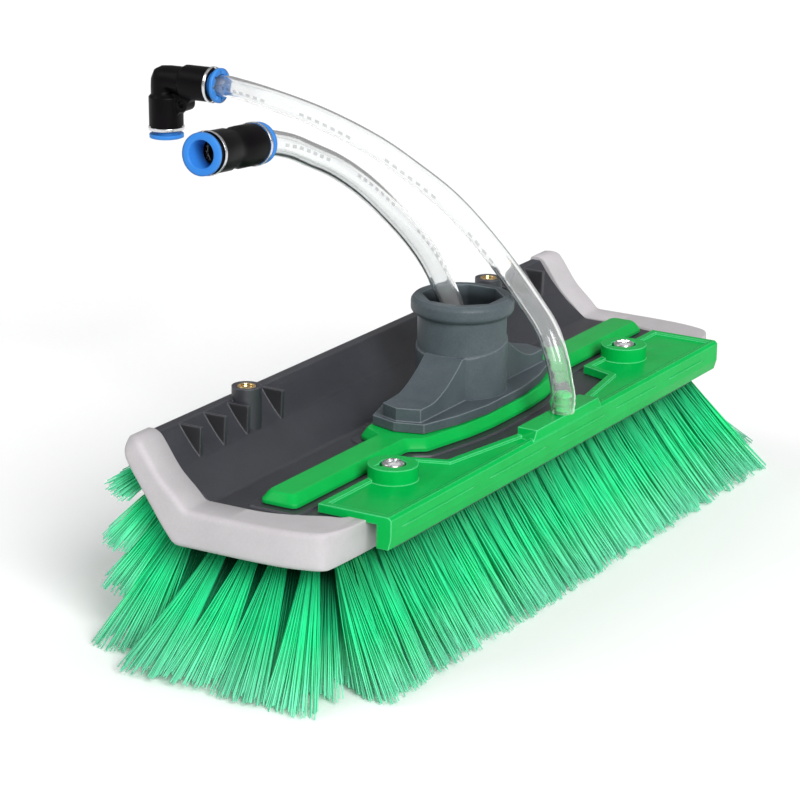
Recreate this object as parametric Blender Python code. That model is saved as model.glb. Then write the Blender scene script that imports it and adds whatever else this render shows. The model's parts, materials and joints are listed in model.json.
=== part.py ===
# Curved wash brush for a water-fed pole: an L-shaped bristle stock with soft end
# bumpers, a carrier bar with a pole socket, a rinse plate with a hose barb, and two
# clear hoses that end in a push-fit elbow and a push-fit straight union.
#
# Metres, +Z up, the length of the brush along X and its rinse plate towards -Y.
# Shapes are written in the stock's frame, whose zero is the middle of the stock's
# flat top face, and an empty lifts that frame so that the bristles stand on Z = 0.

import math

import bmesh
import bpy
import numpy as np
from mathutils import Matrix, Vector

# Gap between two pieces that touch
CLEARANCE = 0.0003

# Stock: a flat base and a curved wing that rises behind it
STOCK_HALF_LENGTH = 0.1277
STOCK_FRONT = -0.0365
STOCK_DEPTH = 0.0110
CREASE_Y = 0.0180
CREASE_FILLET = 0.0030
WING_TOP_Z = 0.0198
WING_TOP_Y = 0.0378
WING_CURVE_RADIUS = 0.070
WING_RIM = 0.0035
WING_RIM_HEIGHT = 0.0060
HEEL_Y = 0.0240

# Bristles, set in slices that lie in the stock's recesses
SLICE_THICKNESS = 0.0025
SLICE_END_MARGIN = 0.0042
COLUMNS = 34
BASE_ROWS = 5
BASE_ROWS_IN_FRONT = 3
BASE_ROW_PITCH = 0.0101
WING_ROWS = 4
WING_ROW_PITCH = 0.0067
WING_SLICE_START = 0.0022
ROOT_HALF_WIDTH = 0.0021
TIP_HALF_WIDTH = 0.0029
BRISTLE_REACH = 0.0490
BASE_END_FANS = (0.0170, 0.0450, 0.0450, 0.0450, 0.0440)
WING_END_FANS = (0.0270, 0.0188, 0.0188, 0.0188)
FRONT_TIP_Y = -0.0500
BASE_TIP_PITCH = 0.0180
BASE_TIP_HALF_DEPTH = 0.0065
HEEL_TIP_Y = 0.0415
HEEL_TIP_HALF_DEPTH = 0.0080
WING_TIP_Y = 0.0490
WING_TIP_TOP_Z = 0.0005
WING_TIP_PITCH = 0.0165
WING_TIP_HALF_DEPTH = 0.0035

# Ribs and screw bosses on the wing, placed from the stock's ends
RIB_SETBACKS = (0.0607, 0.0402, 0.0267, 0.0127)
RIB_THICKNESS = 0.0018
RIB_TIP_Y = 0.0295
RIB_FOOT_Y = 0.0298
RIB_ROOT = 0.0015
WING_BOSS_SETBACK = 0.0464
WING_BOSS_Y = 0.0346
WING_BOSS_RADIUS = 0.0050
WING_BOSS_TOP = 0.0240

# Threaded inserts
INSERT_RADIUS = 0.0032
INSERT_BORE_RADIUS = 0.0023
INSERT_LENGTH = 0.0064
INSERT_POCKET_FLOOR = 0.0004

# End bumpers
BUMPER_PROUD = 0.0010
BUMPER_DROP = 0.0005
BUMPER_WIDTH = 0.0133
BUMPER_EDGE_RADIUS = 0.0030
BUMPER_FRONT = -0.0330
BUMPER_UNDERCUT = 0.0030
BUMPER_WING_PROUD = 0.0015
BUMPER_WRAP = 0.0028
BUMPER_CAP = 0.0012
BUMPER_RETURN = 0.0217
BUMPER_SIDE_BACK = 0.0100

# The stock's front corner from back to front, as distance from the stock's end and Y
CORNER_BACK = -0.0030
CORNER_POINTS = ((0.0037, -0.0140), (0.0077, -0.0210), (0.0087, -0.0270), (BUMPER_RETURN, -0.0290))

# The bumper's outside round that corner: how far it is drawn in from its full width
BUMPER_CORNER_INSETS = (0.0005, 0.0017, 0.0035, 0.0053)
# Its nose: how far it is drawn in, how far behind its front, and its share of undercut
BUMPER_NOSE = ((0.0070, 0.0031, 0.2), (0.0110, 0.0013, 0.7), (0.0165, 0.0003, 0.97), (0.0225, 0.0, 1.0))

# Carrier bar, on a low platform of the stock
PLATFORM_HEIGHT = 0.0006
PLATFORM_ROOT = 0.0020
PLATFORM_MARGIN = 0.0030
BAR_SETBACK = 0.0067
BAR_FRONT = -0.0094
BAR_BACK = 0.0040
BAR_TOP = 0.0050
BAR_SHOULDER_X = 0.0520
BAR_MIDDLE_X = 0.0480
BAR_MIDDLE_FRONT = -0.0148
BAR_MIDDLE_BACK = 0.0110
BAR_BULGE_FRONT = -0.0208
BAR_BULGE_BACK = 0.0165
BAR_DRAFT = 0.0014
BAR_SOLE = 0.0012
BAR_EDGE = 0.0006
BAR_CORNER_RADIUS = 0.0025

# Pole socket
FOOT_HALF_LENGTH = 0.0470
FOOT_CORNER_X = 0.0440
FOOT_CORNER_FRONT = -0.0110
FOOT_CORNER_BACK = 0.0088
FOOT_BULGE_FRONT = -0.0183
FOOT_BULGE_BACK = 0.0145
FOOT_TIER = 0.0032
PAD_TOP = 0.0130
PAD_INNER_X = 0.0360
PAD_INSET = 0.0014
RAMP_TOP = 0.0234
RAMP_CURVE = 1.65
RAMP_FRONT = -0.0090
RAMP_BACK = 0.0056
TUBE_RADIUS = 0.0152
CUFF_RADIUS = 0.0157
CUFF_HEIGHT = 0.0252
CUFF_SLOPE = 0.18
COLLAR_RADIUS = 0.0176
COLLAR_HEIGHT = 0.0056
SOCKET_TOP = 0.0413
BORE_RADIUS = 0.0142
BORE_FLOOR = 0.0080
BORE_SIDES = 8

# Screws that hold the socket from below
SOCKET_SCREW_X = 0.0395
SOCKET_SCREW_RADIUS = 0.0016
SOCKET_SCREW_HEAD_RADIUS = 0.0026
SOCKET_SCREW_HEAD = 0.0026
SOCKET_SCREW_TOP = 0.0105
SOCKET_SCREW_RECESS = 0.0036

# Rinse plate over the front of the stock
PLATE_SETBACK = 0.0102
PLATE_FRONT = -0.0420
PLATE_BACK = -0.0155
PLATE_TOP = 0.0032
PLATE_NOTCH_X = 0.0620
PLATE_NOTCH_INNER_X = 0.0575
PLATE_MIDDLE_BACK = -0.0277
PLATE_CENTRE_BACK = -0.0335
LIP_INNER = -0.0368
LIP_BOTTOM = -0.0075
LIP_CHAMFER_START = -0.0040
LIP_CHAMFER = 0.0010
PANEL_BORDER = 0.0024
PANEL_DEPTH = 0.0008
PLATE_EDGE = 0.0010
BLOCK_HALF_LENGTH = 0.0220
BLOCK_TOP = 0.0060
BLOCK_FLARE = 0.0030
BLOCK_ROOT = 0.0012
PLATE_SCREW_SETBACK = 0.0358
PLATE_SCREW_Y = -0.0214
PLATE_BOSS_RADIUS = 0.0082
PLATE_BOSS_TOP = 0.0075
COUNTERBORE_RADIUS = 0.0044
COUNTERBORE_DEPTH = 0.0019
KEYHOLE_TIP = (-0.0056, 0.0038)
KEYHOLE_HALF_WIDTH = 0.0036
PLATE_SCREW_RADIUS = 0.0019
PLATE_SCREW_HEAD_RADIUS = 0.0037
PLATE_SCREW_HEAD = 0.0027
PLATE_SCREW_LENGTH = 0.0110

# Water channel along the plate's lip
CHANNEL_Y = -0.0395
CHANNEL_WIDTH = 0.0018
CHANNEL_END_WALL = 0.0075
CHANNEL_ROOF = -0.0015
STRIP_THICKNESS = 0.0012
JET_COUNT = 10
JET_RADIUS = 0.0004
WATERWAY_RADIUS = 0.0014

# Hoses and their barbs
HOSE_RADIUS = 0.0040
HOSE_BORE_RADIUS = 0.0030
BARB_CORE_RADIUS = 0.0021
BARB_RIDGE_RADIUS = 0.0024
BARB_PITCH = 0.0024
BARB_RIDGES = 3
INLET_FLANGE_RADIUS = 0.0056
INLET_FLANGE = 0.0013
INLET_STEM_RADIUS = 0.0030
INLET_STEM_FOOT = 0.0016
POINT_SPACING = 0.0160
STRAIGHT_ON_BARB = 0.0068

# Push-fit fittings for the hoses
BODY_RADIUS = 0.0065
BODY_WAIST_RADIUS = 0.0056
BAND_RADIUS = 0.0068
BAND_WIDTH = 0.0015
BAND_STEP = 0.0006
COLLET_REACH = 0.0028
COLLET_FLANGE = 0.0016
COLLET_FLANGE_RADIUS = 0.0065
COLLET_RADIUS = 0.0048
COLLET_SLEEVE = 0.0060
GRAB_RING_DEPTH = 0.0080
GRAB_RING_THICKNESS = 0.0005
GRAB_RING_RADIUS = 0.0053
SEAL_DEPTH = 0.0094
SEAL_THICKNESS = 0.0017
SEAL_RADIUS = 0.0052
STOP_DEPTH = 0.0150
PORT_WATERWAY_RADIUS = 0.0028
ELBOW_HOSE_ARM = 0.0218
ELBOW_HOSE_WAIST = 0.0083
ELBOW_FREE_ARM = 0.0190
ELBOW_FREE_WAIST = 0.0052
ELBOW_BEND = 0.0042
UNION_LENGTH = 0.0345
EYE_RADIUS = 0.0028
EYE_BORE_RADIUS = 0.0014
EYE_SET_OUT = 0.0018
WEB_REACH = 0.0060
WEB_THICKNESS = 0.0050
WAIST_TAPER = 0.0010

# The routes of the hoses, chosen by hand, from the barb to the fitting's mouth
OUTER_HOSE_ROUTE = (
    (0.0006, -0.0367, 0.0236),
    (0.0020, -0.0318, 0.0333),
    (0.0050, -0.0229, 0.0416),
    (0.0104, -0.0053, 0.0556),
    (0.0164, 0.0147, 0.0680),
    (0.0224, 0.0345, 0.0757),
    (0.0275, 0.0514, 0.0810),
    (0.0360, 0.0799, 0.0863),
    (0.0446, 0.1099, 0.0890),
)
ELBOW_MOUTH = (0.0523, 0.1357, 0.0888)
ELBOW_DIRECTION = (-0.02, 1.0, -0.02)
INNER_HOSE_ROUTE = (
    (-0.0001, 0.0006, 0.0250),
    (-0.0024, 0.0016, 0.0353),
    (-0.0075, 0.0026, 0.0446),
    (-0.0165, 0.0030, 0.0560),
    (-0.0270, 0.0030, 0.0660),
    (-0.0440, 0.0030, 0.0793),
    (-0.0610, 0.0030, 0.0910),
    (-0.0780, 0.0030, 0.1005),
    (-0.0940, 0.0030, 0.1075),
    (-0.1055, 0.0030, 0.1122),
)
UNION_MOUTH = (-0.1258, 0.0029, 0.1168)
UNION_DIRECTION = (-0.9945, -0.052, 0.092)

# Values worked out from the sizes above
SLICE_HALF_LENGTH = STOCK_HALF_LENGTH - SLICE_END_MARGIN
WING_BOSS_X = STOCK_HALF_LENGTH - WING_BOSS_SETBACK
BUMPER_OUTER_X = STOCK_HALF_LENGTH + BUMPER_WIDTH
BUMPER_RETURN_X = STOCK_HALF_LENGTH - BUMPER_RETURN
BAR_HALF_LENGTH = STOCK_HALF_LENGTH - BAR_SETBACK
PLATE_HALF_LENGTH = STOCK_HALF_LENGTH - PLATE_SETBACK
PLATE_SCREW_X = PLATE_HALF_LENGTH - PLATE_SCREW_SETBACK
CHANNEL_HALF_LENGTH = PLATE_HALF_LENGTH - CHANNEL_END_WALL
SLICE_TOP = -STOCK_DEPTH + SLICE_THICKNESS
RECESS_TOP = SLICE_TOP + CLEARANCE
WING_OUTER_Y = WING_TOP_Y + WING_RIM
WING_RIM_BOTTOM = WING_TOP_Z - WING_RIM_HEIGHT
SLOPE_RISE = WING_RIM_BOTTOM + STOCK_DEPTH
SLOPE_RUN = WING_OUTER_Y - HEEL_Y
SLOPE_ANGLE = math.atan2(SLOPE_RISE, SLOPE_RUN)
SLOPE_LENGTH = math.hypot(SLOPE_RISE, SLOPE_RUN)
WING_SLICE_END = WING_SLICE_START + WING_ROWS * WING_ROW_PITCH
BAR_SEAT = PLATFORM_HEIGHT + CLEARANCE
FOOT_SEAT = BAR_TOP + CLEARANCE
TIER_TOP = FOOT_SEAT + FOOT_TIER
BARB_LENGTH = BARB_RIDGES * BARB_PITCH
INLET_FLANGE_SEAT = BORE_FLOOR + CLEARANCE
INLET_BARB_SEAT = INLET_FLANGE_SEAT + INLET_FLANGE
BASE_SLICE_FRONT = -BASE_ROWS_IN_FRONT * BASE_ROW_PITCH
BASE_SLICE_BACK = BASE_SLICE_FRONT + BASE_ROWS * BASE_ROW_PITCH
WING_TIP_LEAN = math.atan2(HEEL_Y, BRISTLE_REACH)
TIP_FRONT = FRONT_TIP_Y - BASE_TIP_HALF_DEPTH
TIP_BACK = WING_TIP_Y + WING_TIP_HALF_DEPTH * math.cos(WING_TIP_LEAN)
SHIFT_Y = -(TIP_FRONT + TIP_BACK) / 2

LATHE_SIDES = 16
SOCKET_SIDES = 40
BODY_SIDES = 20


# Small mesh helpers. A shape is a pair: an array of points and a list of faces.

def arc(centre, radius, start, end, steps):
    """Points on a circle from one angle to another, both in degrees."""
    angles = np.radians(np.linspace(start, end, steps + 1))
    return [(centre[0] + radius * math.cos(a), centre[1] + radius * math.sin(a)) for a in angles]


def rounded(outline, radius, steps=3):
    """The outline with each corner replaced by an arc that touches both of its edges."""
    result = []
    count = len(outline)
    for index, corner in enumerate(outline):
        point = Vector(corner)
        before = Vector(outline[index - 1]) - point
        after = Vector(outline[(index + 1) % count]) - point
        half_angle = before.angle(after) / 2
        reach = min(radius / math.tan(half_angle), 0.45 * before.length, 0.45 * after.length)
        start = point + before.normalized() * reach
        end = point + after.normalized() * reach
        for step in range(steps + 1):
            share = step / steps
            near = start.lerp(point, share)
            far = point.lerp(end, share)
            result.append(tuple(near.lerp(far, share)))
    return result


def grown(outline, distance):
    """The outline with every edge moved outwards by a distance, or inwards if it is negative."""
    points = [Vector(point) for point in outline]
    count = len(points)
    area = sum(points[i - 1].x * points[i].y - points[i].x * points[i - 1].y for i in range(count))
    side = math.copysign(1.0, area)
    result = []
    for index in range(count):
        along_in = (points[index] - points[index - 1]).normalized()
        along_out = (points[(index + 1) % count] - points[index]).normalized()
        normal_in = Vector((along_in.y, -along_in.x)) * side
        normal_out = Vector((along_out.y, -along_out.x)) * side
        mitre = (normal_in + normal_out).normalized()
        result.append(tuple(points[index] + mitre * (distance / mitre.dot(normal_in))))
    return result


def mirrored(half):
    """A closed outline from its points at +X, front to back, and their mirror images."""
    return list(half) + [(-x, y) for x, y in reversed(half)]


def box_outline(half_length, front, back):
    """A rectangle across the middle of the brush."""
    return [(-half_length, front), (half_length, front), (half_length, back), (-half_length, back)]


def loft(rings):
    """A closed shape through rings of equally many points, with a flat face at each end."""
    points = np.array(rings, dtype=float)
    ring_count, size = points.shape[:2]
    faces = []
    for ring in range(ring_count - 1):
        for side in range(size):
            after = (side + 1) % size
            faces.append((ring * size + side, ring * size + after,
                          (ring + 1) * size + after, (ring + 1) * size + side))
    faces.append(tuple(reversed(range(size))))
    faces.append(tuple(range((ring_count - 1) * size, ring_count * size)))
    return points.reshape(-1, 3), faces


def prism(outline, low, high, axis="Z"):
    """An outline carried along an axis: XY along Z, YZ along X, or XZ along Y."""
    order = {"Z": (0, 1, 2), "X": (2, 0, 1), "Y": (0, 2, 1)}[axis]
    rings = []
    for level in (low, high):
        flat = np.array([(u, v, level) for u, v in outline])
        rings.append(flat[:, order])
    return loft(rings)


def lathe(profile, sides=LATHE_SIDES, ring=False):
    """A profile of radius and height turned about Z; a ring's profile closes on itself."""
    turn = np.arange(sides) * (2 * math.pi / sides) + math.pi / sides
    points = []
    loops = []
    for radius, height in profile:
        if radius > 0:
            loops.append(list(range(len(points), len(points) + sides)))
            points.extend((radius * math.cos(a), radius * math.sin(a), height) for a in turn)
        else:
            loops.append([len(points)])
            points.append((0.0, 0.0, height))
    faces = []
    pairs = list(zip(loops, loops[1:]))
    if ring:
        pairs.append((loops[-1], loops[0]))
    for lower, upper in pairs:
        for side in range(sides):
            after = (side + 1) % sides
            corners = (lower[side % len(lower)], lower[after % len(lower)],
                       upper[after % len(upper)], upper[side % len(upper)])
            faces.append(tuple(dict.fromkeys(corners)))
    return np.array(points), faces


def cylinder(radius, low, high, sides=LATHE_SIDES):
    """A plain closed cylinder about Z."""
    return lathe([(0, low), (radius, low), (radius, high), (0, high)], sides)


def moved(shape, offset=(0, 0, 0), matrix=None):
    """The shape turned by a matrix and moved by an offset."""
    points, faces = shape
    if matrix is not None:
        points = np.array([matrix @ Vector(point) for point in points])
    return points + np.array(offset), faces


def combined(shapes):
    """Shapes that lie apart from each other, as one."""
    points = []
    faces = []
    for shape_points, shape_faces in shapes:
        start = len(points)
        points.extend(map(tuple, shape_points))
        faces.extend(tuple(start + index for index in face) for face in shape_faces)
    return np.array(points), faces


def both_sides(shape):
    """The shape and its mirror image across the middle of the brush."""
    points, faces = shape
    return combined([shape, (points * np.array((-1, 1, 1)), [tuple(reversed(f)) for f in faces])])


def make_material(name, colour, roughness, metallic=0.0):
    """A Principled material of one colour."""
    material = bpy.data.materials.new(name)
    material.use_nodes = True
    shader = material.node_tree.nodes["Principled BSDF"]
    shader.inputs["Base Color"].default_value = (*colour, 1.0)
    shader.inputs["Roughness"].default_value = roughness
    shader.inputs["Metallic"].default_value = metallic
    return material


def make_object(name, shape, material, parent):
    """A mesh object with outward faces, smooth where it is round."""
    points, faces = shape
    mesh = bpy.data.meshes.new(name)
    mesh.from_pydata([tuple(point) for point in points], [], faces)
    builder = bmesh.new()
    builder.from_mesh(mesh)
    bmesh.ops.recalc_face_normals(builder, faces=builder.faces[:])
    builder.to_mesh(mesh)
    builder.free()
    mesh.shade_smooth()
    mesh.set_sharp_from_angle(angle=math.radians(35))
    mesh.materials.append(material)
    piece = bpy.data.objects.new(name, mesh)
    bpy.context.collection.objects.link(piece)
    piece.parent = parent
    return piece


def combine(piece, shape, operation):
    """Add a shape to a piece (UNION), take it away (DIFFERENCE) or keep what both hold."""
    tool_name = f"{piece.name}_tool_{len(piece.modifiers)}"
    tool = make_object(tool_name, shape, piece.data.materials[0], piece.parent)
    tool.hide_render = True
    tool.display_type = "WIRE"
    change = piece.modifiers.new(tool_name, "BOOLEAN")
    change.operation = operation
    change.solver = "EXACT"
    change.object = tool


def make_empty(name, parent, matrix):
    """An empty that carries pieces, placed under its parent."""
    empty = bpy.data.objects.new(name, None)
    bpy.context.collection.objects.link(empty)
    empty.parent = parent
    empty.matrix_local = matrix
    return empty


# Shapes that more than one piece shares

def wing_arc_centre():
    """The centre of the wing's hollow face, and its angles at the crease and at the top."""
    low = Vector((CREASE_Y, 0.0))
    high = Vector((WING_TOP_Y, WING_TOP_Z))
    chord = high - low
    rise = math.sqrt(WING_CURVE_RADIUS ** 2 - (chord.length / 2) ** 2)
    inward = Vector((-chord.y, chord.x)).normalized()
    centre = (low + high) / 2 + inward * rise
    start = math.degrees(math.atan2(low.y - centre.y, low.x - centre.x))
    end = math.degrees(math.atan2(high.y - centre.y, high.x - centre.x))
    return centre, start, end


def wing_face_z(y):
    """The height of the wing's hollow face at a depth Y."""
    centre = wing_arc_centre()[0]
    return centre.y - math.sqrt(WING_CURVE_RADIUS ** 2 - (y - centre.x) ** 2)


def slope_point(along, inward=0.0):
    """A point on the wing's underside, by its distance up the slope and into the stock."""
    y = HEEL_Y + along * math.cos(SLOPE_ANGLE) - inward * math.sin(SLOPE_ANGLE)
    z = -STOCK_DEPTH + along * math.sin(SLOPE_ANGLE) + inward * math.cos(SLOPE_ANGLE)
    return y, z


def front_corner(clearance=0.0):
    """The bumper's inner edge round the stock's front corner, at +X, from back to front."""
    edge = [(-CLEARANCE, CORNER_BACK), *CORNER_POINTS]
    return [(STOCK_HALF_LENGTH - setback - clearance, y) for setback, y in edge]


def bar_outline():
    """The carrier bar seen from above: narrow ends and a wider, bulging middle."""
    bulge_x = 0.55 * BAR_MIDDLE_X
    front_step = BAR_BULGE_FRONT - BAR_MIDDLE_FRONT
    back_step = BAR_BULGE_BACK - BAR_MIDDLE_BACK
    half = [
        (bulge_x * 0.5, BAR_MIDDLE_FRONT + 0.92 * front_step),
        (bulge_x, BAR_MIDDLE_FRONT + 0.70 * front_step),
        (BAR_MIDDLE_X, BAR_MIDDLE_FRONT),
        (BAR_SHOULDER_X, BAR_FRONT),
        (BAR_HALF_LENGTH, BAR_FRONT),
        (BAR_HALF_LENGTH, BAR_BACK),
        (BAR_SHOULDER_X, BAR_BACK),
        (BAR_MIDDLE_X, BAR_MIDDLE_BACK),
        (bulge_x, BAR_MIDDLE_BACK + 0.70 * back_step),
        (bulge_x * 0.5, BAR_MIDDLE_BACK + 0.92 * back_step),
    ]
    return mirrored(half)


def foot_outline():
    """The socket's foot seen from above: pointed ends and long curved sides."""
    half = [
        (0.0130, FOOT_BULGE_FRONT + 0.0004),
        (0.0290, FOOT_BULGE_FRONT + 0.0028),
        (FOOT_CORNER_X, FOOT_CORNER_FRONT),
        (FOOT_HALF_LENGTH, (FOOT_CORNER_FRONT + FOOT_CORNER_BACK) / 2),
        (FOOT_CORNER_X, FOOT_CORNER_BACK),
        (0.0290, FOOT_BULGE_BACK - 0.0016),
        (0.0130, FOOT_BULGE_BACK),
    ]
    return mirrored(half)


def plate_outline():
    """The rinse plate seen from above, with its back edge drawn in round the bar."""
    half = [
        (PLATE_HALF_LENGTH, PLATE_FRONT),
        (PLATE_HALF_LENGTH, PLATE_BACK),
        (PLATE_NOTCH_X, PLATE_BACK),
        (PLATE_NOTCH_INNER_X, PLATE_MIDDLE_BACK),
        (BLOCK_HALF_LENGTH, PLATE_CENTRE_BACK),
    ]
    return mirrored(half)


def barb_profile(seat):
    """The ridges of a hose barb above its seat, as radius and height, from seat to nose."""
    profile = []
    for ridge in range(BARB_RIDGES):
        height = seat + ridge * BARB_PITCH
        profile.append((BARB_CORE_RADIUS, height))
        profile.append((BARB_CORE_RADIUS, height + 0.35 * BARB_PITCH))
        profile.append((BARB_RIDGE_RADIUS, height + 0.45 * BARB_PITCH))
    profile.append((BARB_CORE_RADIUS * 0.92, seat + BARB_LENGTH))
    return profile


# The stock and what is set into it

def stock_section():
    """The stock's section in YZ: base, crease, hollow wing face, rim and both recesses."""
    centre, start, end = wing_arc_centre()
    crease = rounded([(0.0, 0.0), (CREASE_Y, 0.0), (WING_TOP_Y, WING_TOP_Z)], CREASE_FILLET)[4:8]
    wing = arc(centre, WING_CURVE_RADIUS, start, end, 6)[2:]
    depth = SLICE_THICKNESS + CLEARANCE
    return [
        (STOCK_FRONT, -STOCK_DEPTH),
        (STOCK_FRONT, 0.0),
        *crease,
        *wing,
        (WING_OUTER_Y, WING_TOP_Z),
        (WING_OUTER_Y, WING_RIM_BOTTOM),
        slope_point(WING_SLICE_END + CLEARANCE),
        slope_point(WING_SLICE_END + CLEARANCE, depth),
        slope_point(WING_SLICE_START - CLEARANCE, depth),
        slope_point(WING_SLICE_START - CLEARANCE),
        (HEEL_Y, -STOCK_DEPTH),
        (BASE_SLICE_BACK + CLEARANCE, -STOCK_DEPTH),
        (BASE_SLICE_BACK + CLEARANCE, RECESS_TOP),
        (BASE_SLICE_FRONT - CLEARANCE, RECESS_TOP),
        (BASE_SLICE_FRONT - CLEARANCE, -STOCK_DEPTH),
    ]


def wing_rib(place):
    """A triangular rib that stands on the wing's hollow face."""
    foot_z = wing_face_z(RIB_FOOT_Y)
    outline = [
        (RIB_TIP_Y, WING_TOP_Z - RIB_ROOT / 5),
        (RIB_FOOT_Y, foot_z - RIB_ROOT / 2),
        (RIB_FOOT_Y + RIB_ROOT, foot_z - RIB_ROOT / 2),
        (WING_TOP_Y + RIB_ROOT, WING_TOP_Z - 2 * RIB_ROOT),
        (WING_TOP_Y + RIB_ROOT, WING_TOP_Z - RIB_ROOT / 5),
    ]
    return prism(outline, place - RIB_THICKNESS / 2, place + RIB_THICKNESS / 2, "X")


def wing_boss():
    """A round screw boss whose foot follows the wing's slope."""
    points, faces = cylinder(WING_BOSS_RADIUS, 0.0, WING_BOSS_TOP, 20)
    run = WING_BOSS_RADIUS / 2
    slope = (wing_face_z(WING_BOSS_Y + run) - wing_face_z(WING_BOSS_Y)) / run
    foot = points[:, 2] < WING_BOSS_TOP / 2
    points[foot, 2] = wing_face_z(WING_BOSS_Y) + slope * points[foot, 1] - RIB_ROOT
    return moved((points, faces), (WING_BOSS_X, WING_BOSS_Y, 0.0))


def build_stock(parent, material):
    """The L-shaped stock with its platform, ribs, bosses, corner cuts and pockets."""
    stock = make_object("brush_stock", prism(stock_section(), -STOCK_HALF_LENGTH, STOCK_HALF_LENGTH, "X"),
                        material, parent)
    beyond = STOCK_HALF_LENGTH + BUMPER_WIDTH
    ahead = STOCK_FRONT - STOCK_DEPTH
    corner = [*front_corner(CLEARANCE), (BUMPER_RETURN_X - CLEARANCE, ahead), (beyond, ahead),
              (beyond, CORNER_BACK)]
    combine(stock, both_sides(prism(corner, -2 * STOCK_DEPTH, STOCK_DEPTH)), "DIFFERENCE")
    ribs = [wing_rib(STOCK_HALF_LENGTH - setback) for setback in RIB_SETBACKS]
    combine(stock, both_sides(combined(ribs)), "UNION")
    combine(stock, both_sides(wing_boss()), "UNION")
    platform = rounded(grown(bar_outline(), PLATFORM_MARGIN), BAR_CORNER_RADIUS)
    combine(stock, prism(platform, -PLATFORM_ROOT, PLATFORM_HEIGHT), "UNION")
    pocket_radius = INSERT_RADIUS + CLEARANCE
    pocket = cylinder(pocket_radius, -INSERT_LENGTH - INSERT_POCKET_FLOOR, INSERT_LENGTH)
    rear_pocket = moved(pocket, (WING_BOSS_X, WING_BOSS_Y, WING_BOSS_TOP))
    front_pocket = moved(pocket, (PLATE_SCREW_X, PLATE_SCREW_Y, 0))
    screw_way = moved(lathe([
        (0, -STOCK_DEPTH), (SOCKET_SCREW_HEAD_RADIUS + CLEARANCE, -STOCK_DEPTH),
        (SOCKET_SCREW_HEAD_RADIUS + CLEARANCE, RECESS_TOP + SOCKET_SCREW_RECESS),
        (SOCKET_SCREW_RADIUS + CLEARANCE, RECESS_TOP + SOCKET_SCREW_RECESS),
        (SOCKET_SCREW_RADIUS + CLEARANCE, BAR_TOP), (0, BAR_TOP)]), (SOCKET_SCREW_X, 0, 0))
    waterway = cylinder(WATERWAY_RADIUS, -2 * STOCK_DEPTH, BAR_TOP)
    combine(stock, combined([both_sides(rear_pocket), both_sides(front_pocket),
                             both_sides(screw_way), waterway]), "DIFFERENCE")
    return stock


def build_inserts(parent, material):
    """Four threaded inserts: two in the wing's bosses and two under the plate screws."""
    profile = [(INSERT_BORE_RADIUS, 0), (INSERT_RADIUS, 0), (INSERT_RADIUS, INSERT_LENGTH),
               (INSERT_BORE_RADIUS, INSERT_LENGTH)]
    places = {"rear": (WING_BOSS_X, WING_BOSS_Y, WING_BOSS_TOP - INSERT_LENGTH),
              "front": (PLATE_SCREW_X, PLATE_SCREW_Y, -INSERT_LENGTH)}
    for row, (x, y, z) in places.items():
        for side, sign in (("left", -1), ("right", 1)):
            shape = moved(lathe(profile, ring=True), (sign * x, y, z))
            make_object(f"{row}_insert_{side}", shape, material, parent)


def bumper_station(x_inner, x_outer, bottom, top, sign):
    """One section through a bumper, from its bottom point to its top point in YZ."""
    low = Vector(bottom)
    high = Vector(top)
    edge = min(BUMPER_EDGE_RADIUS, 0.45 * (x_outer - x_inner))
    share = min(BUMPER_EDGE_RADIUS / (high - low).length, 0.45)
    corner = 0.3
    section = [(x_inner, 0.0), (x_outer - edge, 0.0), (x_outer - corner * edge, corner * share),
               (x_outer, share), (x_outer, 1 - share), (x_outer - corner * edge, 1 - corner * share),
               (x_outer - edge, 1.0), (x_inner, 1.0)]
    ring = []
    for x, height in section:
        y, z = low.lerp(high, height)
        ring.append((sign * x, y, z))
    return ring


def bumper_shape(sign):
    """A soft bumper: round the front corner, along the end of the base and up the wing."""
    bottom = -STOCK_DEPTH - BUMPER_DROP
    top = BUMPER_PROUD
    end_x = STOCK_HALF_LENGTH + CLEARANCE
    flat = [(BUMPER_RETURN_X, BUMPER_OUTER_X - inset, BUMPER_FRONT + behind, share * BUMPER_UNDERCUT)
            for inset, behind, share in reversed(BUMPER_NOSE)]
    side, *corner = front_corner()
    flat += [(x, BUMPER_OUTER_X - inset, y, 0.0)
             for (x, y), inset in reversed(list(zip(corner, BUMPER_CORNER_INSETS)))]
    flat += [(end_x, BUMPER_OUTER_X, y, 0.0) for y in (side[1], BUMPER_SIDE_BACK)]
    stations = [bumper_station(inner, outer, (y + under, bottom), (y, top), sign)
                for inner, outer, y, under in flat]
    climb = [((HEEL_Y - BUMPER_DROP, bottom), (CREASE_Y - 0.8 * BUMPER_PROUD, top), 0.0)]
    for slope_share, face_share in ((0.2, 0.23), (0.8, 0.55)):
        y = CREASE_Y + face_share * (WING_TOP_Y - CREASE_Y)
        under = slope_point(slope_share * SLOPE_LENGTH, -BUMPER_DROP)
        climb.append((under, (y, wing_face_z(y) + BUMPER_WING_PROUD), 0.0))
    cap = BUMPER_CAP
    wrap = BUMPER_WRAP
    behind = WING_OUTER_Y + cap
    rim_y = WING_TOP_Y
    rim_z = WING_TOP_Z
    climb += [
        ((WING_OUTER_Y + BUMPER_DROP, WING_RIM_BOTTOM), (rim_y - wrap, rim_z - 0.4 * cap), 0.0),
        ((behind - 0.1 * cap, WING_RIM_BOTTOM + wrap), (rim_y - wrap / 2, rim_z + 0.65 * cap), 0.3 * cap),
        ((behind, rim_z - cap), (rim_y + 0.5 * cap, rim_z + 1.3 * cap), 1.5 * cap),
        ((behind - 0.5 * cap, rim_z + 0.5 * cap), (rim_y + wrap, rim_z + 1.2 * cap), 2.8 * cap),
    ]
    for low, high, drawn_in in climb:
        stations.append(bumper_station(end_x, BUMPER_OUTER_X - drawn_in, low, high, sign))
    return loft(stations)


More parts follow.
